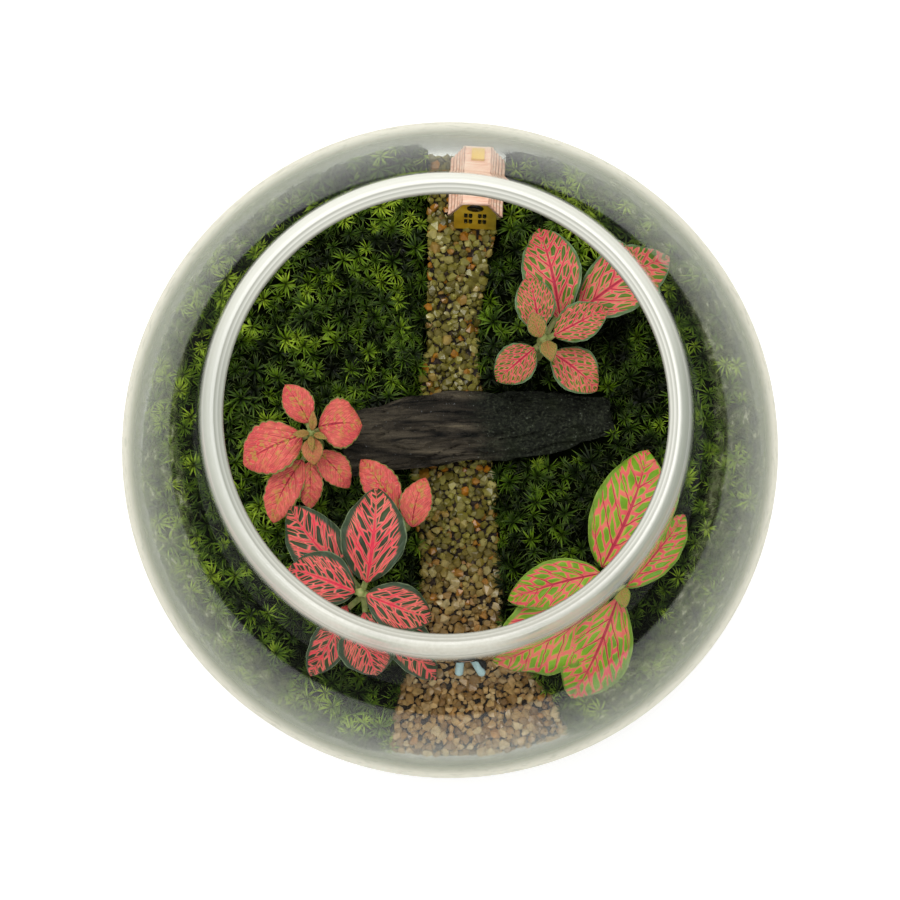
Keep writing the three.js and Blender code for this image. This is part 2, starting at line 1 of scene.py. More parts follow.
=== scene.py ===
# %% [markdown]
# # A planted glass terrarium
#
# A round glass bowl holds a small landscape: star moss, a gravel path, a long dark stone, five
# nerve plants, a painted miniature house and a little seated figure. This lesson builds the looks
# of each piece around a finished frame, in metres, with +Z up and -Y at the front. It goes from the
# bowl inwards and ends with light and camera.

# %% Load the frame
import math
import random

import bmesh
import bpy
import numpy as np
from mathutils import Matrix, Vector, noise


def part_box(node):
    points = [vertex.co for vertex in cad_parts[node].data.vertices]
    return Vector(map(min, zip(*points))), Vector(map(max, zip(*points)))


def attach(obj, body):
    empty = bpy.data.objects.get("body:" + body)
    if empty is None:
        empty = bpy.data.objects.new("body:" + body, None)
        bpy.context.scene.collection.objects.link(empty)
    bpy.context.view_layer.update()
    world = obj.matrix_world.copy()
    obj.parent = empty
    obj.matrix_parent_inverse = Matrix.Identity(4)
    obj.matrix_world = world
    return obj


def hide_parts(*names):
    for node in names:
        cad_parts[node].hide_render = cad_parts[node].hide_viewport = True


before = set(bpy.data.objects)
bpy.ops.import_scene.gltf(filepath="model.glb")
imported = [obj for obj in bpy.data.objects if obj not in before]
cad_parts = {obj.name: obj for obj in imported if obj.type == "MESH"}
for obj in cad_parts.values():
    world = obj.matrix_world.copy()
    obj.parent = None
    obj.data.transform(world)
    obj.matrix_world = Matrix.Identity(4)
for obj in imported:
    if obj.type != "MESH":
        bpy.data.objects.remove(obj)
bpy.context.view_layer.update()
scene = bpy.context.scene
MM = 0.001
print("nodes in the frame:", sorted(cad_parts))

# %% [markdown]
# Materials and geometry trees are both node trees. Writing shader maths as Python expressions keeps
# it readable: a Wire is one output socket, and an operator on it adds a Math node. Every other node
# comes from Tree.node, which takes the node's type, then its settings, then the values or wires of
# its sockets. Places in a finish are in metres, and points of a mesh are in millimetres until
# add_piece makes it.

# %% Node trees as expressions
class Wire:
    """An output socket. Python's operators on it add Math nodes."""

    def __init__(self, tree, socket):
        self.tree = tree
        self.socket = socket

    def out(self, name):
        return Wire(self.tree, self.socket.node.outputs[name])

    def maths(self, operation, first, second=0.0, third=0.0):
        values = {0: first, 1: second, 2: third}
        return self.tree.node("ShaderNodeMath", {"operation": operation}, values)

    def __add__(self, other):
        return self.maths("ADD", self, other)

    __radd__ = __add__

    def __sub__(self, other):
        return self.maths("SUBTRACT", self, other)

    def __rsub__(self, other):
        return self.maths("SUBTRACT", other, self)

    def __mul__(self, other):
        return self.maths("MULTIPLY", self, other)

    __rmul__ = __mul__

    def __truediv__(self, other):
        return self.maths("DIVIDE", self, other)

    def __rtruediv__(self, other):
        return self.maths("DIVIDE", other, self)

    def __pow__(self, other):
        return self.maths("POWER", self, other)

    def __abs__(self):
        return self.maths("ABSOLUTE", self)

    def at_most(self, other):
        return self.maths("MINIMUM", self, other)

    def at_least(self, other):
        return self.maths("MAXIMUM", self, other)

    def wave(self, size):
        """A zigzag between 0 and size."""
        return self.maths("PINGPONG", self, size)

    def ramp(self, low, high, start=0.0, end=1.0):
        """Goes smoothly from start to end while the value goes from low to high."""
        settings = {"interpolation_type": "SMOOTHSTEP"}
        values = {0: self, 1: low, 2: high, 3: start, 4: end}
        return self.tree.node("ShaderNodeMapRange", settings, values)


class Tree:
    """Adds nodes to a node tree, one call for each."""

    def __init__(self, node_tree):
        self.node_tree = node_tree

    def node(self, kind, settings=None, values=None, output=0):
        made = self.node_tree.nodes.new(kind)
        for name, value in (settings or {}).items():
            if name == "stops":
                self.set_stops(made.color_ramp, value)
            else:
                setattr(made, name, value)
        for name, value in (values or {}).items():
            if isinstance(value, Wire):
                self.node_tree.links.new(value.socket, made.inputs[name])
            else:
                made.inputs[name].default_value = value
        return Wire(self, made.outputs[output]) if len(made.outputs) else made

    @staticmethod
    def set_stops(ramp, stops):
        while len(ramp.elements) > 2:
            ramp.elements.remove(ramp.elements[-1])
        while len(ramp.elements) < len(stops):
            ramp.elements.new(0.5)
        for element, (place, shade) in zip(ramp.elements, stops):
            element.position = place
            element.color = shade


def colour(hexadecimal):
    """A colour such as 0x3c6414, as the linear values that shaders use."""
    parts = [(hexadecimal >> shift & 255) / 255 for shift in (16, 8, 0)]
    return (*[p / 12.92 if p <= 0.04045 else ((p + 0.055) / 1.055) ** 2.4 for p in parts], 1.0)


class Finish(Tree):
    """A material with one Principled shader, and the nodes that several finishes use."""

    def __init__(self, name):
        self.material = bpy.data.materials.new(name)
        self.material.use_nodes = True
        super().__init__(self.material.node_tree)
        self.node_tree.nodes.clear()

    def place(self):
        return self.node("ShaderNodeTexCoord").out("Object")

    def split(self, vector):
        """The X, Y and Z of a vector."""
        parts = self.node("ShaderNodeSeparateXYZ", None, {0: vector})
        return [parts.out(axis) for axis in "XYZ"]

    def length(self, vector):
        return self.node("ShaderNodeVectorMath", {"operation": "LENGTH"}, {0: vector}).out("Value")

    def off_axis(self, vector):
        """How far a point is from the Z axis."""
        return self.length(self.scaled(vector, (1, 1, 0)))

    def attribute(self, name):
        return self.node("ShaderNodeAttribute", {"attribute_name": name}).out("Fac")

    def scaled(self, vector, scale, turn=(0, 0, 0)):
        values = {"Vector": vector, "Scale": scale, "Rotation": turn}
        return self.node("ShaderNodeMapping", None, values)

    def cloud(self, vector, scale, detail=3.0, roughness=0.55, distortion=0.0):
        """Soft noise. A larger scale makes it finer."""
        values = {"Vector": vector, "Scale": scale, "Detail": detail, "Roughness": roughness}
        values["Distortion"] = distortion
        return self.node("ShaderNodeTexNoise", None, values)

    def cells(self, vector, scale, feature="F1", jitter=1.0, dimensions="3D"):
        settings = {"feature": feature, "voronoi_dimensions": dimensions}
        values = {"Vector": vector, "Scale": scale, "Randomness": jitter}
        return self.node("ShaderNodeTexVoronoi", settings, values)

    def blend(self, factor, first, second):
        """One colour where the factor is 0, and the other where it is 1."""
        settings = {"data_type": "RGBA"}
        return self.node("ShaderNodeMix", settings, {0: factor, 6: first, 7: second}, output=2)

    def stops(self, factor, *stops):
        """A colour ramp. Each stop is a place between 0 and 1 and a colour."""
        shades = [(place, colour(shade)) for place, shade in stops]
        return self.node("ShaderNodeValToRGB", {"stops": shades}, {0: factor})

    def bump(self, height, strength, distance=MM):
        values = {"Height": height, "Strength": strength, "Distance": distance}
        return self.node("ShaderNodeBump", None, values)

    def principled(self, **values):
        named = {name.replace("_", " "): value for name, value in values.items()}
        return self.node("ShaderNodeBsdfPrincipled", None, named)

    def mix(self, factor, first, second):
        """One shader where the factor is 0, and the other where it is 1."""
        return self.node("ShaderNodeMixShader", None, {0: factor, 1: first, 2: second})

    def finish(self, shader):
        self.node("ShaderNodeOutputMaterial", None, {"Surface": shader})
        return self.material


print("helpers ready")

# %% [markdown]
# Most pieces are written as plain arrays of points and faces. These helpers turn arrays into a mesh
# object whose origin stays at the world's origin, and loft rows of points into a closed skin.

# %% Meshes from arrays
def new_object(name, data):
    made = bpy.data.objects.new(name, data)
    scene.collection.objects.link(made)
    return made


def shade_smooth(mesh):
    mesh.polygons.foreach_set("use_smooth", [True] * len(mesh.polygons))


def add_piece(name, points, faces, materials, slot, replaces=(), finish_of=None, **attributes):
    """Makes a mesh object in metres from points in millimetres, and hides the frame's solids that it stands
    for.
    """
    mesh = bpy.data.meshes.new(name)
    mesh.from_pydata([tuple(p) for p in np.asarray(points, float) * MM], [], faces)
    for key, values in attributes.items():
        attribute = mesh.attributes.new(key, "FLOAT", "POINT")
        attribute.data.foreach_set("value", np.asarray(values, np.float32))
    shade_smooth(mesh)
    for material in materials:
        mesh.materials.append(material)
    if finish_of is not None:
        mesh.polygons.foreach_set("material_index", finish_of)
    piece = new_object(name, mesh)
    if slot:
        settle(piece, slot, *replaces)
    return piece


def settle(piece, slot, *nodes):
    """Puts a finished piece on the root body and hides the frame's solids that it stands for. slot, the
    finish it would take, is not used.
    """
    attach(piece, "root")
    if nodes:
        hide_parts(*nodes)
    print(f"{piece.name}: {len(piece.data.polygons)} faces")


def turn_outwards(piece):
    """Makes the faces of a closed mesh point outwards."""
    work = bmesh.new()
    work.from_mesh(piece.data)
    bmesh.ops.remove_doubles(work, verts=work.verts, dist=1e-7)
    bmesh.ops.recalc_face_normals(work, faces=work.faces)
    work.to_mesh(piece.data)
    work.free()


def loft(rows):
    """Faces over closed loops of equal length, with both ends shut. rows is (loops, points, 3)."""
    loops, count, _ = rows.shape
    faces = []
    for i in range(loops - 1):
        here, above = i * count, (i + 1) * count
        for j in range(count):
            k = (j + 1) % count
            faces.append((here + j, here + k, above + k, above + j))
    faces.append(tuple(reversed(range(count))))
    faces.append(tuple(range((loops - 1) * count, loops * count)))
    return faces


def faces_of_rings(rings, segments):
    """Faces over rings of points. Points 0 and 1 are the middles of the first and the last ring."""
    faces = []
    last = 2 + (rings - 1) * segments
    for k in range(segments):
        n = (k + 1) % segments
        faces += [(0, 2 + n, 2 + k), (1, last + k, last + n)]
        for i in range(rings - 1):
            a, b = 2 + i * segments, 2 + (i + 1) * segments
            faces.append((a + k, a + n, b + n, b + k))
    return faces


def revolve(profile, segments):
    """A body turned about Z. The profile of (radius, height) starts and ends on the axis."""
    angles = [2 * math.pi * k / segments for k in range(segments)]
    points = [(0, 0, profile[0][1]), (0, 0, profile[-1][1])]
    points += [(r * math.cos(a), r * math.sin(a), z) for r, z in profile[1:-1] for a in angles]
    return points, faces_of_rings(len(profile) - 2, segments)


def wobble(point, scale, seed=0.0):
    """Smooth noise between -1 and 1 at a point in millimetres."""
    x, y, z = (scale * c for c in point)
    return noise.noise(Vector((x + seed, y - seed, z + 0.5 * seed)))


def portion(value, low, high):
    """0 up to low, 1 from high on, and evenly between."""
    return min(1.0, max(0.0, (value - low) / (high - low)))


print("mesh helpers ready")

# %% [markdown]
# Some pieces are several bodies in one mesh, such as a plant with its stem, stalks and blades.
# Parts gathers them, and keeps which finish each face has and what is marked at each point. Stems,
# arms and legs are round tubes along a route.

# %% Bodies gathered into one mesh
def tube(route, radii, sides=10):
    """Loops of a round tube along a route of points."""
    route = [Vector(p) for p in route]
    radii = [float(radius) for radius in radii]
    turns = [2 * math.pi * j / sides for j in range(sides)]
    loops = []
    for k, point in enumerate(route):
        ahead = (route[min(k + 1, len(route) - 1)] - route[max(k - 1, 0)]).normalized()
        if k == 0:
            side = ahead.orthogonal().normalized()
        else:
            side = (side - ahead * side.dot(ahead)).normalized()
        other = ahead.cross(side)
        ring = [tuple(point + radii[k] * (math.cos(a) * side + math.sin(a) * other)) for a in turns]
        loops.append(ring)
    return np.array(loops)


def between(a, b, steps):
    """Points in a straight line from a to b."""
    a, b = Vector(a), Vector(b)
    return [a.lerp(b, k / steps) for k in range(steps + 1)]


class Parts:
    """Points, faces, finishes and marks of several bodies."""

    def __init__(self, *marks):
        self.points, self.faces, self.finish_of = [], [], []
        self.marks = {key: [] for key in marks}

    def add(self, points, faces, finish=0, marks=None):
        first = len(self.points)
        self.points += [tuple(p) for p in points]
        self.faces += [tuple(n + first for n in face) for face in faces]
        self.finish_of += [finish] * len(faces)
        for key, values in self.marks.items():
            values.extend(marks[key] if marks else [0.0] * len(points))

    def add_rows(self, rows, finish=0):
        self.add(rows.reshape(-1, 3), loft(rows), finish)


print("tubes and parts ready")

# %% [markdown]
# ## The glass bowl
#
# The bowl is blown glass: a sphere of 150 mm with a flat foot and a lip melted round at the cut.
# Its wall is 2.2 mm thick at the side and a little over 3 mm at the shoulder. It is one profile
# turned about the axis, with an outer and an inner face, because the pale band at its outline is
# light bent in the wall.

# %% Bowl sizes
BOWL_RADIUS = 75
BOWL_WALL = 2.2
SHOULDER_EXTRA = 1.2
BOWL_CENTRE = 62
FOOT_RADIUS = 38
FOOT_ROUNDING = 6
FLOOR_HEIGHT = 5
FLOOR_ROUNDING = 4
LIP_RADIUS = 45.1
LIP_HEIGHT = 121.2
LIP_BEAD = 2.1
WALL_GAP = 0.35
BOWL_SEGMENTS = 160


def on_sphere(radius, latitude):
    angle = math.radians(latitude)
    return radius * math.cos(angle), BOWL_CENTRE + radius * math.sin(angle)


def on_inside(latitude):
    """A point of the inner face. The wall grows thicker towards the shoulder."""
    wall = BOWL_WALL + SHOULDER_EXTRA * max(0.0, math.sin(math.radians(latitude)))
    return on_sphere(BOWL_RADIUS - wall, latitude)


INSIDE = np.array([on_inside(latitude) for latitude in np.arange(-60, 60, 1)])


def room_radius(z, gap=WALL_GAP):
    """Radius of the room inside the glass at height z, less a gap."""
    return np.interp(z, INSIDE[:, 1], INSIDE[:, 0]) - gap


def bezier(a, b, c, steps):
    """Points of a curve from a to c that is drawn towards b, without its ends."""
    shares = [k / steps for k in range(1, steps)]
    return [tuple((1 - t) ** 2 * p + 2 * t * (1 - t) * q + t * t * r for p, q, r in zip(a, b, c))
            for t in shares]


def bowl_profile():
    outside = [on_sphere(BOWL_RADIUS, lat) for lat in (*np.arange(-50, 49, 2), 49.5, 50.6)]
    inside = [on_inside(lat) for lat in (51, 49.5, *np.arange(48, -51, -2))]
    bead = [(LIP_RADIUS + LIP_BEAD * math.cos(a), LIP_HEIGHT + LIP_BEAD * math.sin(a))
            for a in np.radians(np.arange(-18, 223, 15))]
    foot = [(0, 0), (FOOT_RADIUS, 0)]
    foot += bezier((FOOT_RADIUS, 0), (FOOT_RADIUS + FOOT_ROUNDING, 0.2), outside[0], 5)
    neck_in = bezier(bead[-1], (LIP_RADIUS - 1.1, LIP_HEIGHT - 2.3), inside[0], 4)
    flat_floor = (FOOT_RADIUS - FLOOR_ROUNDING, FLOOR_HEIGHT)
    floor = bezier(inside[-1], (FOOT_RADIUS + 2, FLOOR_HEIGHT), flat_floor, 5)
    floor += [flat_floor, (0, FLOOR_HEIGHT)]
    return foot + outside + bead + neck_in + inside + floor


print("bowl profile:", len(bowl_profile()), "points")

# %% [markdown]
# Clear glass is a Principled shader with full transmission. Rays that only carry light to the plants go
# straight through it, or the planting would lie in the dark. Three more things are mixed in, one over the
# other. The damp air leaves condensation on the inner face: a thin haze all round, and a coat of larger
# drops at the left and the right. Where the view runs along the wall, at the outline, the glass is painted
# grey beige as shade, since little light comes such a long way through it, and paler towards the very edge,
# as painted light bent in the wall. And the melted lip is painted pale, as the light that runs up inside the
# wall comes out there, in fine rings where the glass has folded.

# %% Condensation
FRONT = (-0.055, -0.01)
FILM_FOOT = 0.056
DROPS_TOP = 0.11
HAZE_TOP = 0.104
FRONT_DIP = 0.009


def condensation(finish, place, drops):
    """How much damp covers the glass at each point."""
    across, back, height = finish.split(place)
    middle = (0, 0, -BOWL_CENTRE * MM)
    centred = finish.node("ShaderNodeMapping", None, {"Vector": place, "Location": middle})
    inner, outer = (BOWL_RADIUS - 1.9) * MM, (BOWL_RADIUS - 0.9) * MM
    inner_face = finish.length(centred).ramp(inner, outer, 1.0, 0.0)
    lowered = height + FRONT_DIP * back.ramp(*FRONT, 1.0, 0.0)
    beside = abs(across).ramp(0.014, 0.038) * lowered.ramp(DROPS_TOP, DROPS_TOP + 0.0024, 1.0, 0.0)
    coat = beside * (drops.ramp(0.28, 0.76, 0.1, 0.48) + height.ramp(0.088, DROPS_TOP, 0.2, 0.0))
    haze = height.ramp(0.075, HAZE_TOP, 0.45, 0.0) * (0.6 + 0.8 * finish.cloud(place, 60, 3))
    return inner_face * height.ramp(FILM_FOOT, FILM_FOOT + 0.01) * coat.at_least(haze)

# %% [markdown]
# The lip's rings go from its inner edge, at 0, to its outer edge, at 1; the first, dark ring is a painted
# shadow line along the inner edge. It is painted in shade at the right and the left, and dusty at the front,
# where a patch of it is nearly see-through.

# %% Lip
# The first stop, dark grey at 0, is a painted shadow line along the lip's inner edge.
LIP_RINGS = (
    (0.0, 0x8E8E84), (0.07, 0xEDEDE3), (0.17, 0xC4C4BA), (0.22, 0xF0F0E7),
    (0.34, 0xB4B4A9), (0.4, 0xEDEDE3), (0.9, 0xE6E6DA), (1.0, 0xCDCDC0),
)


def with_lip(finish, place, wall):
    """The wall's shader, with that of the lip over it at the top."""
    across, back, height = finish.split(place)
    front = back.ramp(*FRONT, 1.0, 0.0)
    streak = finish.cloud(place, 35, 2)
    from_inner_edge = finish.off_axis(place) - (LIP_RADIUS - LIP_BEAD) * MM
    ring = from_inner_edge * (0.5 / (LIP_BEAD * MM)) + 0.05 * (streak - 0.5)
    # Painted shade: the lip is darker on its outer half at the right, and at the left.
    side_shade = across.ramp(0.0, 0.04, 0.0, 0.85) * ring.ramp(0.4, 0.6)
    side_shade = side_shade + across.ramp(-0.044, -0.022, 0.5, 0.0)
    side_shade = side_shade * back.ramp(0.0, 0.03, 1.0, 0.25)
    shaded = finish.blend(side_shade, finish.stops(ring, *LIP_RINGS), colour(0x8C9286))
    dust = front * (0.25 + 0.5 * finish.cloud(place, 1400, 2))
    dusty = finish.blend(dust, shaded, colour(0xB6B2A2))
    # The lip's pale colour is painted light, from light that runs up inside the wall and comes out here.
    lip = finish.principled(Base_Color=dusty, Roughness=0.25, Coat_Weight=0.4)
    at_lip = height.ramp((LIP_HEIGHT - 1.9) * MM, (LIP_HEIGHT - 0.9) * MM)
    patch = front * ring.ramp(0.35, 0.5) * abs(across - 0.002).ramp(0.006, 0.016)
    see_through = patch * streak.ramp(0.3, 0.6)
    return finish.mix(at_lip * (0.9 - 0.4 * see_through), wall, lip)

# %% [markdown]
# Now the whole finish, from the clear wall outwards. The same cloud of drops colours the damp and
# breaks up the outline.

# %% Glass finish
def make_glass():
    finish = Finish("clear glass")
    place = finish.place()
    drops = finish.cloud(place, 380, 3, 0.6, 0.15)
    grazing = finish.node("ShaderNodeLayerWeight", None, {"Blend": 0.5}).out("Facing")
    # Painted shade: grazing views through the wall are tinted grey beige, for light lost on the long way
    # through it.
    tint = finish.blend(grazing.ramp(0.6, 0.97), colour(0xF8FAF6), colour(0xB4B4A0))
    clear = finish.principled(
        Base_Color=tint, Roughness=0.0, IOR=1.5, Transmission_Weight=1.0,
        Specular_Tint=(0.15, 0.15, 0.15, 1),
    )
    damp = finish.stops(drops, (0.34, 0x59613F), (0.5, 0x727A54), (0.6, 0x848A66), (0.72, 0xB8BAA0))
    mist = finish.principled(Base_Color=damp, Roughness=1.0, Specular_IOR_Level=0.0)
    misted = finish.mix(condensation(finish, place, drops), clear, mist)
    # At the outline a diffuse is painted over the glass: grey beige as shade, and paler towards the very
    # edge as painted light bent in the wall.
    painted_outline_light = grazing.ramp(0.7, 0.88) * drops.ramp(0.3, 0.5, 0.7, 1.0)
    pale = finish.blend(painted_outline_light, colour(0x868C76), colour(0xE2DFCE))
    outline = finish.principled(Base_Color=pale, Roughness=1.0, Specular_IOR_Level=0.0)
    outlined = finish.mix(0.8 * grazing.ramp(0.58, 0.84), misted, outline)
    path = finish.node("ShaderNodeLightPath")
    passes = path.out("Is Shadow Ray").at_least(path.out("Is Diffuse Ray"))
    through = finish.node("ShaderNodeBsdfTransparent", None, {"Color": (0.97, 0.98, 0.97, 1)})
    return finish.finish(finish.mix(passes, with_lip(finish, place, outlined), through))


points, faces = revolve(bowl_profile(), BOWL_SEGMENTS)
add_piece("bowl", points, faces, [make_glass()], "glass", ["glass_bowl"])

# %% [markdown]
# ## The ground
#
# The ground is laid down in layers, as a planter lays it: drainage gravel, soil, then moss and a
# gravel path side by side. Each layer's skin follows the glass at the side, where the layers show.
# One function of (x, y) gives the height of each surface, so every piece that rests on the ground
# can ask for it.

# %% Heights of the ground
SOIL_HEIGHT = 49
SOIL_RISE = 0.05
DRAINAGE_TOP = 18
GRAVEL_THICKNESS = 4.4
BANK_HEIGHT = 6
BANK_SPAN = (28, 52)
MOSS_THICKNESS = 9.8
MOSS_SHOULDER = 6
MOSS_CLIMB = 6
MOSS_CLIMB_BACK = 0.08
CLIMB_SPAN = (52, 70)
PATH_LEFT = [
    (-5, 62), (-5.2, 45), (-5.8, 27), (-8.5, 6), (-9.5, -8), (-7, -27), (-8, -45), (-13, -58), (-16, -80),
]
PATH_RIGHT = [
    (13.2, 62), (8.5, 45), (6.4, 27), (9, 6), (10.8, -8), (11.8, -27), (13, -45), (25, -58), (33, -80),
]
EDGE_ROUNDING = 3.0


def edge_at(edge, y):
    """The x of one of the path's edges at y, rounded between its points."""
    ys = np.array([p[1] for p in edge][::-1], float)
    xs = np.array([p[0] for p in edge][::-1], float)
    nearby = np.linspace(-EDGE_ROUNDING, EDGE_ROUNDING, 5)
    return float(np.mean([np.interp(y + d, ys, xs) for d in nearby]))


def beyond_path(x, y):
    """How far a point lies outside the path, in millimetres."""
    return max(edge_at(PATH_LEFT, y) - x, x - edge_at(PATH_RIGHT, y))


def soil_top(x, y):
    return SOIL_HEIGHT + SOIL_RISE * y


def moss_top(x, y):
    """The carpet rounds down to the path, and climbs the glass, most at the back."""
    rounding = portion(beyond_path(x, y), 0, MOSS_SHOULDER)
    swell = 0.9 * (math.sin(0.17 * x + 0.6) * math.cos(0.21 * y) + math.sin(0.11 * y - 0.13 * x))
    edge = 0.55 + 0.45 * math.sqrt(1 - (1 - rounding) ** 2)
    climb = portion(math.hypot(x, y), *CLIMB_SPAN) ** 2 * (MOSS_CLIMB + MOSS_CLIMB_BACK * y)
    return soil_top(x, y) + MOSS_THICKNESS * edge + swell * rounding + climb


def gravel_top(x, y):
    """The path rises to a bank that carries the house."""
    share = portion(y, *BANK_SPAN)
    bank = BANK_HEIGHT * share ** 2 * (3 - 2 * share)
    return soil_top(x, y) + GRAVEL_THICKNESS + bank + 0.35 * math.sin(0.5 * x) * math.cos(0.4 * y)


print("moss stands at", round(moss_top(-30, 0), 1), "mm and the path at", round(gravel_top(0, 0), 1), "mm")

# %% [markdown]
# A layer that fills the whole bowl, such as the soil, is a skin of rings: over its underside, up
# along the glass, and over its top. A little roughness in the rings makes it earth and not plastic.

# %% Whole layers
NEAR_GLASS = 60


def flat_point(angle, share, height, gap):
    """A point on the layer's underside or top, at a share of the way from the axis to the glass."""
    x, y = math.cos(angle), math.sin(angle)
    reach = share * room_radius(height(x * NEAR_GLASS, y * NEAR_GLASS), gap)
    return x * reach, y * reach, height(x * reach, y * reach)


def side_point(angle, share, low, high, gap):
    """A point on the layer's side, at a share of the way up."""
    x, y = math.cos(angle), math.sin(angle)
    bottom, top = (height(x * NEAR_GLASS, y * NEAR_GLASS) for height in (low, high))
    z = bottom + share * (top - bottom)
    reach = room_radius(z, gap)
    return x * reach, y * reach, z


def layer(low, high, rough, gap=WALL_GAP, spokes=150):
    """Points and faces of a layer between two heights, pressed against the glass."""
    angles = [2 * math.pi * k / spokes for k in range(spokes)]
    under, side, over = np.linspace(0, 1, 12)[1:], np.linspace(0, 1, 16)[1:], np.linspace(1, 0, 40)[1:-1]
    skin = [flat_point(a, share, low, gap) for share in under for a in angles]
    skin += [side_point(a, share, low, high, gap) for share in side for a in angles]
    skin += [flat_point(a, share, high, gap) for share in over for a in angles]
    points = [(0, 0, low(0, 0)), (0, 0, high(0, 0))]
    for x, y, z in skin:
        inward = 1 - rough * (0.5 + 0.5 * wobble((x, y, z), 0.55)) / BOWL_RADIUS
        sunk = 0.6 * rough * (0.5 + 0.5 * wobble((x, y, z), 0.4, 3))
        points.append((x * inward, y * inward, z - sunk))
    return points, faces_of_rings(len(skin) // spokes, spokes)


print("room inside the glass at the soil's top:", round(float(room_radius(SOIL_HEIGHT)), 1), "mm")

# %% [markdown]
# Soil is dark and crumbly. Cells give the crumbs, a coarse cloud gives the lumps, and a few pale
# specks are grit. Its bump is strong because wet soil is all tiny lumps and gaps.

# %% Soil finish and soil
def make_soil():
    finish = Finish("damp soil")
    place = finish.place()
    crumbs = finish.cells(place, 900).out("Distance")
    lumps = finish.cloud(place, 220, 5)
    shade = finish.stops(lumps * 0.7 + crumbs * 0.4, (0.25, 0x0B0806), (0.5, 0x1D150F), (0.72, 0x3A2A1D))
    grit = finish.cloud(place, 1400, 0).ramp(0.7, 0.76)
    height = lumps * 1.2 + crumbs * 0.8
    return finish.finish(finish.principled(
        Base_Color=finish.blend(grit * 0.5, shade, colour(0x8A7A62)),
        Roughness=0.95 - 0.35 * lumps.ramp(0.5, 0.7),
        Normal=finish.bump(height, 0.9, 0.9 * MM),
    ))


soil_material = make_soil()
points, faces = layer(lambda x, y: DRAINAGE_TOP + 0.6, soil_top, 1.0)
add_piece("soil_layer", points, faces, [soil_material], "soil", ["soil"])

# %% [markdown]
# The path and the two moss carpets share the soil's top, with the path's edges between them. Each is
# a loft of upright slices along Y: over the top from left to right, down the right side, back along
# the soil and up the left side. The same function serves all three, with other edges and another top.

# %% Slices of ground
SLICES = 110
TOP_POINTS = 48
CUT_STEPS = (0, 0.35, 0.7)


def ground_slices(left, right, top, gap=0.3, rough=0.5):
    """Loops, one for each y, of a ground piece between two edges, and how much may grow at each point."""
    rows, grow = [], []
    widest = room_radius(BOWL_CENTRE)
    for y in np.linspace(1 - widest, widest - 1, SLICES):
        reach = math.sqrt(widest ** 2 - y * y)
        x0, x1 = max(left(y), -reach), min(right(y), reach)
        if x1 - x0 < 1.0:
            continue
        row = []
        for t in np.linspace(0, 1, TOP_POINTS):
            x = x0 + t * (x1 - x0)
            z = top(x, y) + rough * wobble((x, y, 0), 0.5)
            row.append((x, y, z))
        low, left_height, right_height = soil_top(0, y) + gap, row[0][2], row[-1][2]
        row += [(x1, y, low + t * (right_height - low)) for t in reversed(CUT_STEPS)]
        row.append(((x0 + x1) / 2, y, low))
        row += [(x0, y, low + t * (left_height - low)) for t in CUT_STEPS]
        rows.append([inside_glass(p) for p in row])
        grow.append([1.0] * TOP_POINTS + [0.0] * (len(row) - TOP_POINTS))
    return np.array(rows), np.array(grow).ravel()


def inside_glass(point):
    """Moves a point that lies too near the glass, or beyond it, inwards."""
    x, y, z = point
    out = math.hypot(x, y)
    limit = room_radius(z)
    return point if out <= limit else (x * limit / out, y * limit / out, z)


def make_ground(name, left, right, top, material, keep):
    """A piece of ground between two edges. keep says whether anything may grow at a point."""
    rows, grow = ground_slices(left, right, top)
    points = rows.reshape(-1, 3)
    grow = grow * np.array([keep(p) for p in points])
    piece = add_piece(name, points, loft(rows), [material], None, grow=grow)
    turn_outwards(piece)
    return piece


print("ground is cut into", SLICES, "slices")

# %% [markdown]
# What repeats is scattered by a geometry tree: it spreads points over the faces that may grow, not
# nearer to each other than a spacing, and puts one of several small shapes on each point, tilted,
# turned and sized at random with a fixed seed. A random tone goes with each shape, for its colour.

# %% A tree that scatters small shapes
SCATTER_INPUTS = {
    "Ground": "Geometry", "Spacing": "Float", "Smallest": "Float", "Largest": "Float",
    "Tilt": "Float", "Lift": "Float", "Seed": "Int",
}


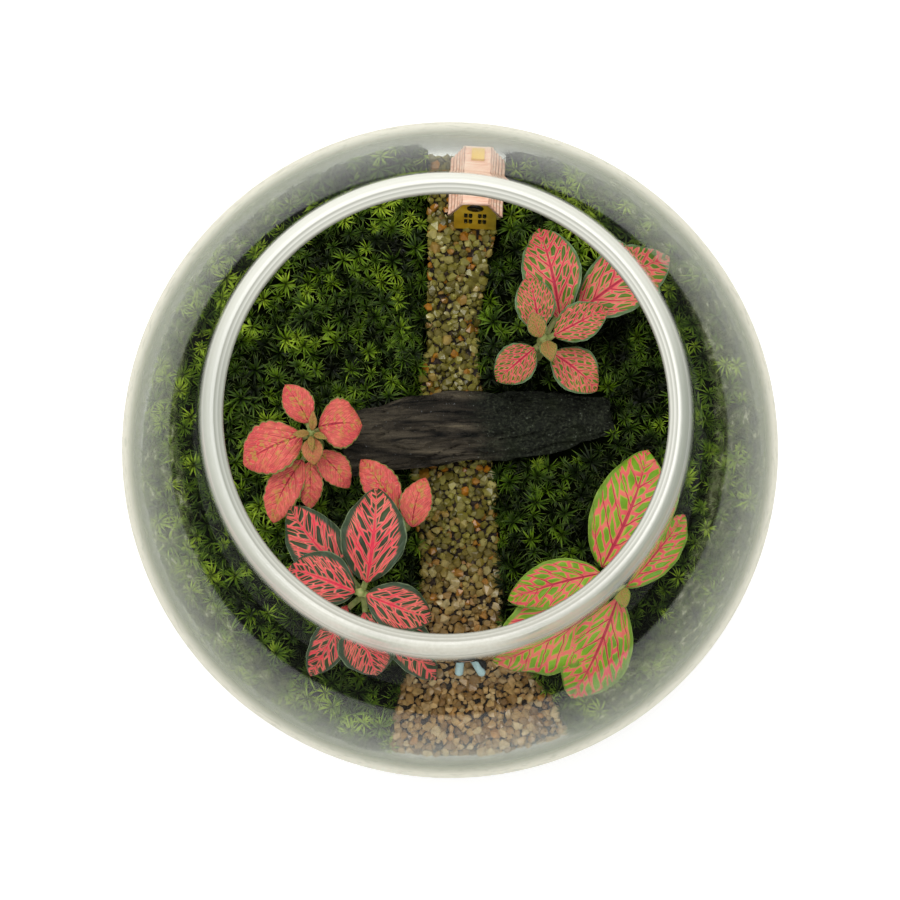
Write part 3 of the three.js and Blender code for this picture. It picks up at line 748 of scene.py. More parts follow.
def scatter_tree(name, kinds, material):
    group = bpy.data.node_groups.new(name, "GeometryNodeTree")
    for label, kind in SCATTER_INPUTS.items():
        group.interface.new_socket(label, in_out="INPUT", socket_type="NodeSocket" + kind)
    group.interface.new_socket("Ground", in_out="OUTPUT", socket_type="NodeSocketGeometry")
    tree = Tree(group)
    given = tree.node("NodeGroupInput")
    spacing, tilt, seed = given.out("Spacing"), given.out("Tilt"), given.out("Seed")

    def chance(kind, values, step, output=0):
        """A random value for each point. Each step has draws of its own."""
        values["Seed"] = seed + step if step else seed
        return tree.node("FunctionNodeRandomValue", {"data_type": kind}, values, output)

    may_grow = tree.node("GeometryNodeInputNamedAttribute", {"data_type": "FLOAT"}, {"Name": "grow"})
    spread = tree.node("GeometryNodeDistributePointsOnFaces", {"distribute_method": "POISSON"}, {
        "Mesh": given.out("Ground"), "Distance Min": spacing, "Density Max": 5.0 / (spacing * spacing),
        "Density Factor": may_grow, "Seed": seed})
    low = tree.node("ShaderNodeCombineXYZ", None, {0: 0 - tilt, 1: 0 - tilt, 2: 0.0})
    high = tree.node("ShaderNodeCombineXYZ", None, {0: tilt, 1: tilt, 2: 2 * math.pi})
    angles = chance("FLOAT_VECTOR", {0: low, 1: high}, 0)
    turn = tree.node("FunctionNodeRotateRotation", {"rotation_space": "LOCAL"}, {
        0: spread.out("Rotation"), 1: tree.node("FunctionNodeEulerToRotation", None, {0: angles})})
    size = chance("FLOAT", {2: given.out("Smallest"), 3: given.out("Largest")}, 1, output=1)
    lift = tree.node("ShaderNodeCombineXYZ", None, {2: given.out("Lift")})
    lifted = tree.node("GeometryNodeSetPosition", None, {"Geometry": spread, "Offset": lift})
    shapes = tree.node("GeometryNodeJoinGeometry")
    for kind in kinds:
        shape = tree.node("GeometryNodeObjectInfo", None, {"Object": kind}).out("Geometry")
        alone = tree.node("GeometryNodeGeometryToInstance", None, {0: shape})
        group.links.new(alone.socket, shapes.socket.node.inputs[0])
    pick = chance("INT", {4: 0, 5: len(kinds) - 1}, 2, output=2)
    placed = tree.node("GeometryNodeInstanceOnPoints", None, {
        "Points": lifted, "Instance": shapes, "Pick Instance": True, "Instance Index": pick,
        "Rotation": turn, "Scale": size})
    tone = chance("FLOAT", {2: 0.0, 3: 1.0}, 3, output=1)
    toned = tree.node(
        "GeometryNodeStoreNamedAttribute", {"data_type": "FLOAT", "domain": "INSTANCE"},
        {"Geometry": placed, "Name": "tone", "Value": tone})
    real = tree.node("GeometryNodeRealizeInstances", None, {0: toned})
    dressed = tree.node("GeometryNodeSetMaterial", None, {"Geometry": real, "Material": material})
    tree.node("NodeGroupOutput", None, {0: dressed})
    return group


def evaluated_mesh(piece):
    """A plain mesh of a piece as its modifiers leave it."""
    return bpy.data.meshes.new_from_object(piece.evaluated_get(bpy.context.evaluated_depsgraph_get()))


def scatter(ground, name, kinds, material, seed, spacing, sizes, tilt, lift=0.0):
    """The small shapes that the tree spreads over a piece of ground, as a mesh of their own."""
    group = scatter_tree(name, kinds, material)
    modifier = ground.modifiers.new(name, "NODES")
    modifier.node_group = group
    given = {
        "Spacing": spacing * MM, "Smallest": sizes[0], "Largest": sizes[1],
        "Tilt": tilt, "Lift": lift * MM, "Seed": seed,
    }
    for item in group.interface.items_tree:
        if item.in_out == "INPUT" and item.name in given:
            modifier[item.identifier] = given[item.name]
    grown = evaluated_mesh(ground)
    ground.modifiers.remove(modifier)
    return grown


def press_inside(mesh):
    """Presses what would poke through the glass flat against it."""
    points = np.empty(len(mesh.vertices) * 3)
    mesh.vertices.foreach_get("co", points)
    points = points.reshape(-1, 3)
    reach = np.hypot(points[:, 0], points[:, 1])
    limit = room_radius(points[:, 2] / MM, 0.15) * MM
    points[:, :2] *= np.minimum(1.0, limit / np.maximum(reach, 1e-6))[:, None]
    mesh.vertices.foreach_set("co", points.ravel())
    mesh.update()


def join_meshes(piece, *meshes):
    """Joins loose meshes into a piece."""
    bpy.ops.object.select_all(action="DESELECT")
    for mesh in meshes:
        new_object("extra", mesh).select_set(True)
    piece.select_set(True)
    bpy.context.view_layer.objects.active = piece
    bpy.ops.object.join()


print("scatter tree ready")

# %% [markdown]
# ## Star moss
#
# Seen from above, a shoot of star moss is a rosette of needle-like leaves that arch outwards. Each
# leaf here is a bent strip of two faces, and a rosette has some twenty-six of them: the inner ones
# stand up and the outer ones lie down. Three different rosettes, turned and sized at random, are
# enough for carpets of many hundreds.

# %% Moss rosettes
MOSS_LEAF_WIDTH = 0.36
LEAF_TURN = 2.4
ROSETTES = ((28, 4.0, 1), (26, 4.6, 2), (24, 3.4, 3))


def moss_leaf(azimuth, rise, length, width, droop):
    """Points and faces of one leaf that starts at the origin, and how far along the leaf each point is."""
    forward = np.array([math.cos(azimuth), math.sin(azimuth), 0.0])
    side = np.array([-math.sin(azimuth), math.cos(azimuth), 0.0])
    points, along = [], []
    for share, half in ((0.0, 0.7), (0.5, 1.0), (1.0, 0.0)):
        angle = rise - droop * share
        spine = forward * length * share * math.cos(angle)
        spine = spine + np.array([0, 0, length * share * math.sin(angle)])
        if half:
            points += [spine - side * half * width / 2, spine + side * half * width / 2]
            along += [share, share]
        else:
            points.append(spine)
            along.append(share)
    return points, [(0, 1, 3, 2), (2, 3, 4)], along


def moss_rosette(leaves, reach, seed):
    """Leaves that follow each other round, the first upright in the middle and the last lying outside."""
    source = random.Random(seed)
    parts = Parts("along")
    for k in range(leaves):
        share = k / (leaves - 1)
        azimuth = LEAF_TURN * k + source.uniform(-0.3, 0.3)
        rise = math.radians(80 - 60 * share ** 0.8 + source.uniform(-10, 10))
        length = reach * (0.55 + 0.45 * share ** 0.6) * source.uniform(0.8, 1.15)
        droop = math.radians(25 + 35 * share + source.uniform(-10, 15))
        width = MOSS_LEAF_WIDTH * source.uniform(0.8, 1.2)
        points, faces, along = moss_leaf(azimuth, rise, length, width, droop)
        parts.add(points, faces, marks={"along": along})
    return add_piece("rosette", parts.points, parts.faces, [], None, **parts.marks)


rosettes = [moss_rosette(leaves, reach, seed) for leaves, reach, seed in ROSETTES]
print("faces in a rosette:", [len(r.data.polygons) for r in rosettes])

# %% [markdown]
# Live moss leaves are translucent, from near black to yellow-green. Each leaf is painted darker towards its
# base, as shade deep in the carpet, and its tip is painted lighter, as a highlight where it catches the
# light. The moss is painted brighter by the glass, as light that comes in from the side, and it is darker at
# the right. Three tones, one for each shoot and two that drift over the carpet, keep it from looking like a
# lawn; their darkest shades, near black, also stand in for shade between the shoots. Under the shoots lies a
# felt of old stems, painted nearly black as the shade of the deep gaps.

# %% Moss finishes
def make_moss_leaf():
    finish = Finish("star moss")
    place = finish.place()
    drift = finish.cloud(place, 45, 2).ramp(0.3, 0.7)
    clumps = finish.cloud(place, 130, 2).ramp(0.35, 0.65)
    right = finish.split(place)[0].ramp(0.0, 0.02)
    tone = finish.attribute("tone") * 0.45 + drift * 0.2 + clumps * 0.35 - 0.08 * right
    # Painted light: the moss is brighter by the glass, where light comes in from the side.
    tone = tone + 0.2 * finish.off_axis(place).ramp(0.052, 0.064)
    young = finish.stops(
        tone, (0.14, 0x080D02), (0.37, 0x1A2A04), (0.58, 0x385206), (0.76, 0x607E0E), (0.92, 0x9AB42C))
    along = finish.attribute("along")
    # Painted shade towards each leaf's base, deep in the carpet, and a painted highlight at its tip.
    shade = finish.blend(along.ramp(0.0, 0.6, 0.9, 0.0), young, colour(0x060D02))
    tip_highlight = finish.blend(along.ramp(0.6, 1.0) * tone * 0.5, shade, colour(0xA6B860))
    return finish.finish(finish.principled(Base_Color=tip_highlight, Roughness=0.5, Specular_IOR_Level=0.16))


def make_shaded_felt():
    finish = Finish("moss felt in painted shade")
    fibres = finish.cloud(finish.scaled(finish.place(), (1, 1, 0.3)), 600, 4, 0.7, 1.0)
    # The felt of old stems is painted nearly black, as shade in the deep gaps between the shoots.
    shade = finish.stops(fibres, (0.35, 0x020301), (0.6, 0x0A0F04), (0.8, 0x1E260E))
    return finish.finish(finish.principled(
        Base_Color=shade, Roughness=1.0, Specular_IOR_Level=0.0,
        Normal=finish.bump(fibres, 0.8, 1.2 * MM),
    ))


moss_material = make_moss_leaf()
shaded_felt_material = make_shaded_felt()
print("moss finishes:", moss_material.name, "and", shaded_felt_material.name)

# %% [markdown]
# Nothing grows under the stone, the house or the figure, so the shoots are kept out of their plan
# outlines. For the house and the figure these are the frame's boxes, a little larger. The stone's
# is a turned rectangle, since it lies askew.

# %% Moss carpets
STONE_CENTRE = (6.3, 5.4, 59.2)
STONE_TURN = 8
STONE_LENGTH = 65
STONE_WIDTH = 18.6
FELT_DROP = 1.6
CLUMP_DEPTH = 3.0
BEYOND = 200
NODE_BOXES = {node: [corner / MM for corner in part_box(node)] for node in ("house_walls", "figure")}


def in_box(point, node, margin):
    low, high = NODE_BOXES[node]
    return all(low[k] - margin < point[k] < high[k] + margin for k in (0, 1))


def on_stone(point):
    """How far a point is from the stone's middle, along it and across it."""
    angle = math.radians(STONE_TURN)
    dx, dy = point[0] - STONE_CENTRE[0], point[1] - STONE_CENTRE[1]
    along = dx * math.cos(angle) + dy * math.sin(angle)
    across = dy * math.cos(angle) - dx * math.sin(angle)
    return along, across


def under_stone(point, margin):
    along, across = on_stone(point)
    return abs(along) < STONE_LENGTH / 2 + margin and abs(across) < STONE_WIDTH / 2 + margin


def moss_grows(point):
    covered = under_stone(point, -0.6) or in_box(point, "house_walls", 1.4) or in_box(point, "figure", 1.0)
    return 0.0 if covered else 1.0


def felt_top(x, y):
    """The felt lies under the shoots' tips, in rounded clumps with valleys between them."""
    valley = 0.5 + 0.5 * wobble((x, y, 0), 0.1, 4.0)
    return moss_top(x, y) - FELT_DROP - CLUMP_DEPTH * valley


def make_moss(name, left, right, node, seed):
    felt = make_ground(name, left, right, felt_top, shaded_felt_material, moss_grows)
    shoots = scatter(
        felt, name + " shoots", rosettes, moss_material, seed,
        spacing=2.6, sizes=(0.6, 1.25), tilt=0.6, lift=0.4)
    press_inside(shoots)
    join_meshes(felt, shoots)
    settle(felt, "moss", node)


make_moss(
    "moss_carpet_left", lambda y: -BEYOND, lambda y: edge_at(PATH_LEFT, y) - 0.2, "moss_left", 7)
make_moss(
    "moss_carpet_right", lambda y: edge_at(PATH_RIGHT, y) + 0.2, lambda y: BEYOND, "moss_right", 8)

# %% [markdown]
# ## Gravel
#
# The path is wet quartz gravel of 1.5 to 3 mm: broken grains, beige, honey, brown and grey-green,
# with wet highlights. A grain is the hull around a few random points, so it has corners and flats.
# Two scatters on top of each other fill the path so that no ground shows.

# %% Grains
GRAIN_CORNERS = 18
GRAIN_KINDS = 6


def make_grain(seed):
    work = bmesh.new()
    source = random.Random(seed)
    stretch = Vector((source.uniform(0.95, 1.3), source.uniform(0.8, 1.05), source.uniform(0.6, 0.85)))
    for _ in range(GRAIN_CORNERS):
        direction = Vector([source.gauss(0, 1) for _ in range(3)]).normalized()
        corner = direction * source.uniform(0.9, 1.15)
        work.verts.new([a * b * MM for a, b in zip(corner, stretch)])
    hull = bmesh.ops.convex_hull(work, input=work.verts)
    loose = [vertex for vertex in hull["geom_interior"] if isinstance(vertex, bmesh.types.BMVert)]
    bmesh.ops.delete(work, geom=loose, context="VERTS")
    bmesh.ops.recalc_face_normals(work, faces=work.faces)
    mesh = bpy.data.meshes.new("grain")
    work.to_mesh(mesh)
    work.free()
    return new_object("grain", mesh)


grains = [make_grain(seed) for seed in range(GRAIN_KINDS)]
print("faces in a grain:", len(grains[0].data.polygons))

# %% [markdown]
# Each grain has one tone, and thin veins in it. At the front, beyond the lip, the path is seen
# through the glass and its grains are more beige; inside they are more olive.

# %% Gravel finish
INNER_GRAINS = (
    (0.0, 0x463F12), (0.2, 0x746B24), (0.42, 0x928A3C), (0.6, 0x60561A), (0.78, 0xAAA05A),
    (0.9, 0x906418), (1.0, 0xB47010),
)
FRONT_GRAINS = (
    (0.0, 0x70502A), (0.2, 0x9E7640), (0.42, 0xBA9660), (0.6, 0x845E30), (0.8, 0xCCB284), (1.0, 0xAA7226),
)


def make_gravel():
    finish = Finish("wet quartz gravel")
    place = finish.place()
    tone = finish.attribute("tone")
    veins = finish.cloud(place, 700, 3)
    at_front = finish.split(place)[1].ramp(-0.05, -0.015, 1.0, 0.0)
    shade = finish.blend(at_front, finish.stops(tone, *INNER_GRAINS), finish.stops(tone, *FRONT_GRAINS))
    mottled = finish.blend(veins.ramp(0.35, 0.7) * 0.4, shade, colour(0x4E4428))
    return finish.finish(finish.principled(
        Base_Color=mottled, Roughness=0.28 + 0.2 * veins, Coat_Weight=0.35, Coat_Roughness=0.12,
        Normal=finish.bump(veins, 0.25, 0.4 * MM),
    ))


gravel_material = make_gravel()
print("gravel finish:", gravel_material.name)

# %% [markdown]
# Under the grains lies a bed of damp soil, and the grains stop where the house stands.

# %% Gravel path
BED_DROP = 1.0


def grains_lie(point):
    return 0.0 if in_box(point, "house_walls", -1.0) else 1.0


def make_path():
    bed = make_ground(
        "gravel_path", lambda y: edge_at(PATH_LEFT, y) + 0.3, lambda y: edge_at(PATH_RIGHT, y) - 0.3,
        lambda x, y: gravel_top(x, y) - BED_DROP, soil_material, grains_lie)
    lower = scatter(
        bed, "lower grains", grains, gravel_material, 31, spacing=1.4, sizes=(0.7, 1.1), tilt=0.8)
    upper = scatter(
        bed, "upper grains", grains, gravel_material, 32, spacing=1.6, sizes=(0.7, 1.45), tilt=0.8, lift=0.6)
    for mesh in (lower, upper):
        press_inside(mesh)
    join_meshes(bed, lower, upper)
    settle(bed, "gravel", "path_gravel")


make_path()

# %% [markdown]
# The drainage layer shows only from the side, through the glass. It gets the same grains, larger,
# over its wall and top. After it the rosettes and grains that were scattered are no longer needed.

# %% Drainage layer
def make_drainage():
    points, faces = layer(
        lambda x, y: FLOOR_HEIGHT + 0.4, lambda x, y: DRAINAGE_TOP - 1.2, 0.8, WALL_GAP + 1)
    grow = [1.0 if z > FLOOR_HEIGHT + 2 else 0.0 for _, _, z in points]
    piece = add_piece("drainage_layer", points, faces, [soil_material], None, grow=grow)
    stones = scatter(
        piece, "drainage grains", grains, gravel_material, 33, spacing=2.9, sizes=(1.3, 2.1), tilt=0.8)
    press_inside(stones)
    join_meshes(piece, stones)
    settle(piece, "gravel", "drainage_gravel")


make_drainage()
for prototype in rosettes + grains:
    bpy.data.objects.remove(prototype)

# %% [markdown]
# ## The stone across the path
#
# A long split piece of dark slate lies over the path like a bridge. Its solid in the frame has the
# right lumps, so a copy of it is remeshed finely and worn down: long cracks along its layers, a
# step where a plate has broken off, and grain. All of the wear goes inwards, so the stone keeps its
# size.

# %% Stone
STONE_VOXEL = 0.55
CRACK_DEPTH = 1.4
RIDGE_DEPTH = 0.7
FINE_DEPTH = 0.4
PLATE_DEPTH = 0.7
GRAIN_DEPTH = 0.1


def stone_wear(point):
    """How deep the surface is worn at a point of the stone, in millimetres."""
    along, across = on_stone(point)
    z = point[2] - STONE_CENTRE[2]
    bend = 1.6 * noise.noise(Vector((along * 0.07, across * 0.1, 3.0)))
    layers = noise.noise(Vector((along * 0.035, across * 0.42 + bend, z * 0.5)))
    crack = max(0.0, 1 - abs(layers) * 7) ** 1.5
    fine = noise.noise(Vector((along * 0.12, across * 1.5 + bend, z * 1.6)))
    ridges = 0.5 + 0.5 * noise.noise(Vector((along * 0.06, across * 0.8 + bend, z * 0.8 + 9)))
    plate_edge = 3.5 + 5 * noise.noise(Vector((across * 0.3, 1.0, 2.0)))
    step = PLATE_DEPTH / (1 + math.exp(-(along - plate_edge) * 1.5)) if z > 0 else 0.0
    grain = GRAIN_DEPTH * noise.noise(Vector(point) * 1.9)
    cracked = CRACK_DEPTH * crack * (0.6 + 0.4 * ridges)
    return cracked + RIDGE_DEPTH * ridges + FINE_DEPTH * abs(fine) + step + grain


def copy_of_node(node, name):
    """A merged copy of one of the frame's solids, as a new object."""
    piece = new_object(name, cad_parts[node].data.copy())
    turn_outwards(piece)
    piece.data.materials.clear()
    return piece


def apply_modifiers(piece):
    shaped = evaluated_mesh(piece)
    piece.modifiers.clear()
    piece.data = shaped


def make_stone():
    piece = copy_of_node("stone", "dark_stone")
    remesh = piece.modifiers.new("fine skin", "REMESH")
    remesh.mode = "VOXEL"
    remesh.voxel_size = STONE_VOXEL * MM
    apply_modifiers(piece)
    normals = [vertex.normal.copy() for vertex in piece.data.vertices]
    for vertex, normal in zip(piece.data.vertices, normals):
        vertex.co -= normal * stone_wear(vertex.co / MM) * MM
    shade_smooth(piece.data)
    return piece


stone = make_stone()
print("stone:", len(stone.data.vertices), "points worn")

# %% [markdown]
# The left half of the slate is brownish and split in strands. The right half lies open as a
# greenish plate with fine specks, some of which glint.

# %% Stone finish
def make_stone_finish():
    finish = Finish("dark slate")
    place = finish.place()
    lengthwise = finish.scaled(place, (0.12, 1, 1), (0, 0, math.radians(-STONE_TURN)))
    strands = finish.cloud(lengthwise, 420, 5, 0.65, 0.6)
    specks = finish.cloud(place, 1500, 2, 0.7)
    left = finish.stops(strands, (0.34, 0x080705), (0.48, 0x332D24), (0.6, 0x50483B), (0.74, 0x6E6450))
    right = finish.stops(specks, (0.35, 0x090B07), (0.55, 0x23271C), (0.75, 0x484E3C))
    side = (finish.split(place)[0] + 0.016 * finish.cloud(place, 120, 3)).ramp(0.01, 0.021)
    green = finish.cloud(place, 90, 3).ramp(0.5, 0.72)
    mossy = finish.blend(green * side * 0.5, finish.blend(side, left, right), colour(0x20290F))
    glints = specks.ramp(0.68, 0.74)
    return finish.finish(finish.principled(
        Base_Color=finish.blend(glints * 0.4, mossy, colour(0x8A8E90)),
        Roughness=0.7 - 0.25 * glints, Specular_IOR_Level=0.25,
        Normal=finish.bump(strands + specks * 0.4, 1.0, 1.4 * MM),
    ))


stone.data.materials.append(make_stone_finish())
settle(stone, "stone", "stone")

# %% [markdown]
# ## Nerve plants
#
# A nerve plant carries pairs of oval leaves on a thin stem, and its veins are coloured: a strong
# midrib, curved side veins and a net between them. Each blade follows one formula: an arched
# midrib, a fold along it, a gentle ripple of the edges, and small pillows between the veins. The
# same numbers, across and along the leaf, are kept as attributes, so that the finish can draw the
# veins exactly where the pillows meet. Each leaf is given by its base and tip in millimetres, its
# width, how far it arches, how steeply its halves fold up, and how far it is rolled in degrees.

# %% Leaf places
LARGE_LEAF = 11
LEAF_THICKNESS = 0.5
LEAF_RIPPLE = 0.03
LEAF_FRILL = 0.02
EDGE_CURL = 0.03
PILLOW_RISE = 0.016
SIDE_VEINS = 6
SWEEP_SLOPE = 1.15
SWEEP_CURVE = 1.1
TIP_DROOP = 0.07

PLANTS = {
    "plant_rear": {"foot": (21, 23), "leaves": [
        ((25.4, 28.4, 75), (20.6, 50.4, 74), 13.5, 0.16, 0.12, -8),
        ((29.6, 30.2, 73), (50.7, 43.3, 73.5), 14.5, 0.15, 0.1, 6),
        ((20.2, 25, 78.5), (17.9, 37.4, 79.5), 9.2, 0.1, 0.12, 0),
        ((23.6, 23.6, 79), (35.8, 29.8, 80), 8.8, 0.1, 0.14, 0),
        ((20.6, 22.8, 80.8), (18.7, 28, 83), 4.4, 0.1, 0.3, 0),
        ((22, 22, 80.8), (22.8, 17.2, 82.6), 4, 0.1, 0.3, 0),
        ((19.4, 21.6, 75), (10.6, 14.6, 72), 9.4, 0.12, 0.1, 0),
        ((23.6, 20.8, 73.5), (34, 12.4, 71), 10.4, 0.12, 0.1, 0),
    ]},
    "plant_left": {"foot": (-31, 2), "leaves": [
        ((-31.6, 4.4, 76), (-37, 13, 77), 7.2, 0.12, 0.22, 0),
        ((-29.4, 3.4, 76.4), (-19.6, 4.2, 74), 11.8, 0.14, 0.08, 0),
        ((-33.2, 1.6, 75.6), (-47, -4.8, 73), 12.4, 0.14, 0.08, 0),
        ((-30.6, 0.8, 77.6), (-30.2, -5.4, 77.6), 5, 0.12, 0.25, 0),
        ((-30, -1.4, 70.6), (-23, -9.6, 68.4), 7.2, 0.14, 0.2, 0),
        ((-33.6, -3.4, 70.6), (-41, -17.6, 66.6), 8.4, 0.14, 0.2, 0),
        ((-31.8, -3.6, 70.2), (-32.2, -14.4, 67.2), 6.2, 0.12, 0.22, 0),
        ((-31.2, 1.6, 78.6), (-34.6, 1.2, 80.2), 1.8, 0.1, 0.4, 0),
        ((-30.6, 2.2, 78.6), (-30.2, 6.2, 80.6), 1.9, 0.1, 0.4, 0),
        ((-30.2, 1.4, 78.4), (-27.2, 0.2, 79.8), 1.6, 0.1, 0.4, 0),
        ((-30.8, 1, 78.4), (-30.4, -2.4, 80), 1.6, 0.1, 0.4, 0),
    ]},
    "plant_sprout": {"foot": (-10.6, -17.6), "leaves": [
        ((-12, -15.2, 68.4), (-20.4, -3, 69), 8.4, 0.14, 0.18, 0),
        ((-8.6, -18.6, 68.4), (-5.6, -7.4, 69.6), 7.6, 0.16, 0.16, 0),
    ]},
    "plant_front_left": {"foot": (-19, -34), "leaves": [
        ((-17.8, -31.8, 82.5), (-15.8, -10.8, 82), 14.4, 0.12, 0.08, 0),
        ((-21.4, -30.8, 77.6), (-36.2, -14.2, 75), 12.2, 0.13, 0.08, 0),
        ((-20.2, -34, 85), (-35, -28.6, 83.5), 12, 0.13, 0.1, 0),
        ((-17.6, -34.6, 85.4), (-3.4, -39.8, 82), 10.6, 0.13, 0.1, 0),
        ((-22.8, -36.6, 74.6), (-31, -51.8, 71), 8.2, 0.14, 0.12, 0),
        ((-18.8, -38.2, 77), (-15.8, -51.6, 73.4), 13, 0.14, 0.08, 0),
        ((-15.6, -36.6, 73), (-3, -52.8, 68.6), 9.6, 0.14, 0.1, 0),
    ]},
    "plant_front_right": {"foot": (36, -31.4), "leaves": [
        ((33.6, -28.4, 79.6), (44.4, -2.2, 79.6), 16.4, 0.12, 0.1, 0),
        ((33.4, -31.2, 76), (9.6, -49.4, 67.4), 17.6, 0.16, 0.08, -10),
        ((33.2, -29.8, 82), (12.8, -35.6, 80), 10.6, 0.13, 0.2, 0),
        ((38.2, -32.4, 80), (51.8, -16.2, 78), 9, 0.14, 0.32, 0),
        ((36.8, -34.6, 77), (26.6, -56.8, 70), 14.4, 0.15, 0.1, 6),
        ((36.8, -32, 81.8), (37.6, -36.6, 83.4), 3.6, 0.1, 0.3, 0),
    ]},
}


print("leaves:", {name: len(plant["leaves"]) for name, plant in PLANTS.items()})

# %% [markdown]
# The blade is a grid of points on its upper face and another on its lower face, sewn together round
# the edge. The teeth of the edge differ between plants: the coral ones are scalloped, the others
# nearly smooth. A pillow rises between each two side veins, and the edge has long ripples and a
# fine frill.

# %% Leaf blade
def leaf_half_width(v, width, teeth, depth):
    oval = 0.03 + 0.97 * np.sin(np.pi * v ** 0.9) ** 0.75
    return width / 2 * oval * (1 + depth * (np.abs(np.sin(np.pi * teeth * v)) - 0.7))


def grid_faces(rows, columns):
    """Faces of an upper and a lower grid of points, and of the seam between them."""
    count = rows * columns
    faces = []
    for i in range(rows - 1):
        for j in range(columns - 1):
            a, d = i * columns + j, (i + 1) * columns + j
            b, c = a + 1, d + 1
            faces += [(a, b, c, d), (count + d, count + c, count + b, count + a)]
    rim = [(i, 0) for i in range(rows)] + [(rows - 1, j) for j in range(1, columns)]
    rim += [(i, columns - 1) for i in range(rows - 2, -1, -1)] + [(0, j) for j in range(columns - 2, 0, -1)]
    ring = [i * columns + j for i, j in rim]
    return faces + [(a, b, count + b, count + a) for a, b in zip(ring, ring[1:] + ring[:1])]


def leaf_blade(base, tip, width, arch, fold, roll, teeth, depth, seed):
    """Points, faces and marks of one blade. v goes along it from 0 to 1, and u across it from -1 to 1."""
    start, axis = Vector(base), Vector(tip) - Vector(base)
    length = axis.length
    forward = axis.normalized()
    side = forward.cross(Vector((0, 0, 1))).normalized()
    side.rotate(Matrix.Rotation(math.radians(roll), 3, forward))
    up = side.cross(forward).normalized()
    start, forward, side, up = (np.array(vector) for vector in (start, forward, side, up))
    rows, columns = (33, 25) if length > LARGE_LEAF else (21, 15)
    v, u = np.meshgrid(np.linspace(0, 1, rows), np.linspace(-1, 1, columns), indexing="ij")
    half = leaf_half_width(v, width, teeth, depth)
    across = np.abs(u)
    span = u * half / length
    sweep = (v - (SWEEP_SLOPE + SWEEP_CURVE * np.abs(span)) * np.abs(span)) * SIDE_VEINS
    pillow = np.abs(np.sin(np.pi * sweep)) ** 0.6 * np.minimum(1, across * 6) * (1 - across ** 6)
    ripple = LEAF_RIPPLE * length * np.sin(3 * np.pi * v) * u * across
    frill = LEAF_FRILL * length * np.sin(9 * np.pi * v + seed + np.sign(u)) * across ** 4
    curl = -EDGE_CURL * length * across ** 4 - TIP_DROOP * length * (np.maximum(0, v - 0.7) / 0.3) ** 2
    lift = 4 * arch * length * v * (1 - v) + fold * half * across + ripple + frill + curl
    lift = lift + PILLOW_RISE * length * pillow
    bow = 0.04 * length * np.sin(np.pi * v) * math.sin(seed * 2.3)
    flat = start + forward * (v * length)[..., None] + side * (u * half + bow)[..., None]
    top = flat + up * lift[..., None]
    under = flat + up * (lift - LEAF_THICKNESS * (1 - 0.6 * across ** 4))[..., None]
    points = np.concatenate([top.reshape(-1, 3), under.reshape(-1, 3)])
    count = rows * columns
    marks = {
        "across": np.tile(u.ravel(), 2),
        "along": np.tile(v.ravel(), 2),
        "span": np.tile(span.ravel(), 2),
        "under": np.repeat([0.0, 1.0], count),
        "leaf": np.full(2 * count, seed),
        "young": np.full(2 * count, portion(9 - length, 0, 5)),
    }
    return points, grid_faces(rows, columns), marks

# %% [markdown]
# Stems and leaf stalks are thin round tubes, a little uneven. The stem goes down through the moss
# into the soil, where the solid in the frame has its hole.

# %% Whole plants
STEM_FOOT = 43
STEM_RADIUS = 1.0
STALK_RADIUS = 0.62
STALK_UNDER_BLADE = 1.6
BLADE, STEM = 0, 1


def plant_parts(plant, teeth, depth):
    """Joins a plant's blades, stem and stalks."""
    foot, leaves = plant["foot"], plant["leaves"]
    crown = max(leaf[0][2] for leaf in leaves) - 0.2
    parts = Parts("across", "along", "span", "under", "leaf", "young")
    for k, (base, tip, width, arch, fold, roll) in enumerate(leaves):
        points, faces, marks = leaf_blade(base, tip, width, arch, fold, roll, teeth, depth, k + 1.0)
        parts.add(points, faces, BLADE, marks)
        reach = (Vector(tip) - Vector(base)).normalized() * STALK_UNDER_BLADE
        socket = (foot[0], foot[1], min(crown - 0.6, base[2] - 2))
        joint = Vector(base) + reach - Vector((0, 0, 0.2))
        thickness = np.linspace(STALK_RADIUS * 1.15, STALK_RADIUS, 9)
        parts.add_rows(tube(between(socket, joint, 8), thickness), STEM)
    swell = [STEM_RADIUS * (1 + 0.12 * math.sin(k * 1.7)) for k in range(19)]
    parts.add_rows(tube(between((*foot, STEM_FOOT), (*foot, crown), 18), swell, 12), STEM)
    return parts


print("stems reach down to", STEM_FOOT, "mm, and the soil's top is at", SOIL_HEIGHT, "mm")

# %% [markdown]
# The finish draws a leaf from the inside out. Lines of equal sweep are the side veins, which leave
# the midrib steeply and bend towards the tip; on some leaves they fork. A Voronoi net between them
# gives the small veins, and its cells are the green islands. The veins are darker along their
# middle and pale where they meet an island. Each kind of leaf uses the same masks in its own
# colours and widths, and the youngest leaves are greener.

# %% Leaf finish
def leaf_veins(lines):
    """Masks of the veins and of the pale zone beside them. Each line has its distance and half width."""
    veins, pale = 0.0, 0.0
    for line, width in lines:
        veins = line.ramp(width * 0.75, width, 1.0, 0.0).at_least(veins)
        pale = line.ramp(width, width + 0.08, 1.0, 0.0).at_least(pale)
    return veins, pale


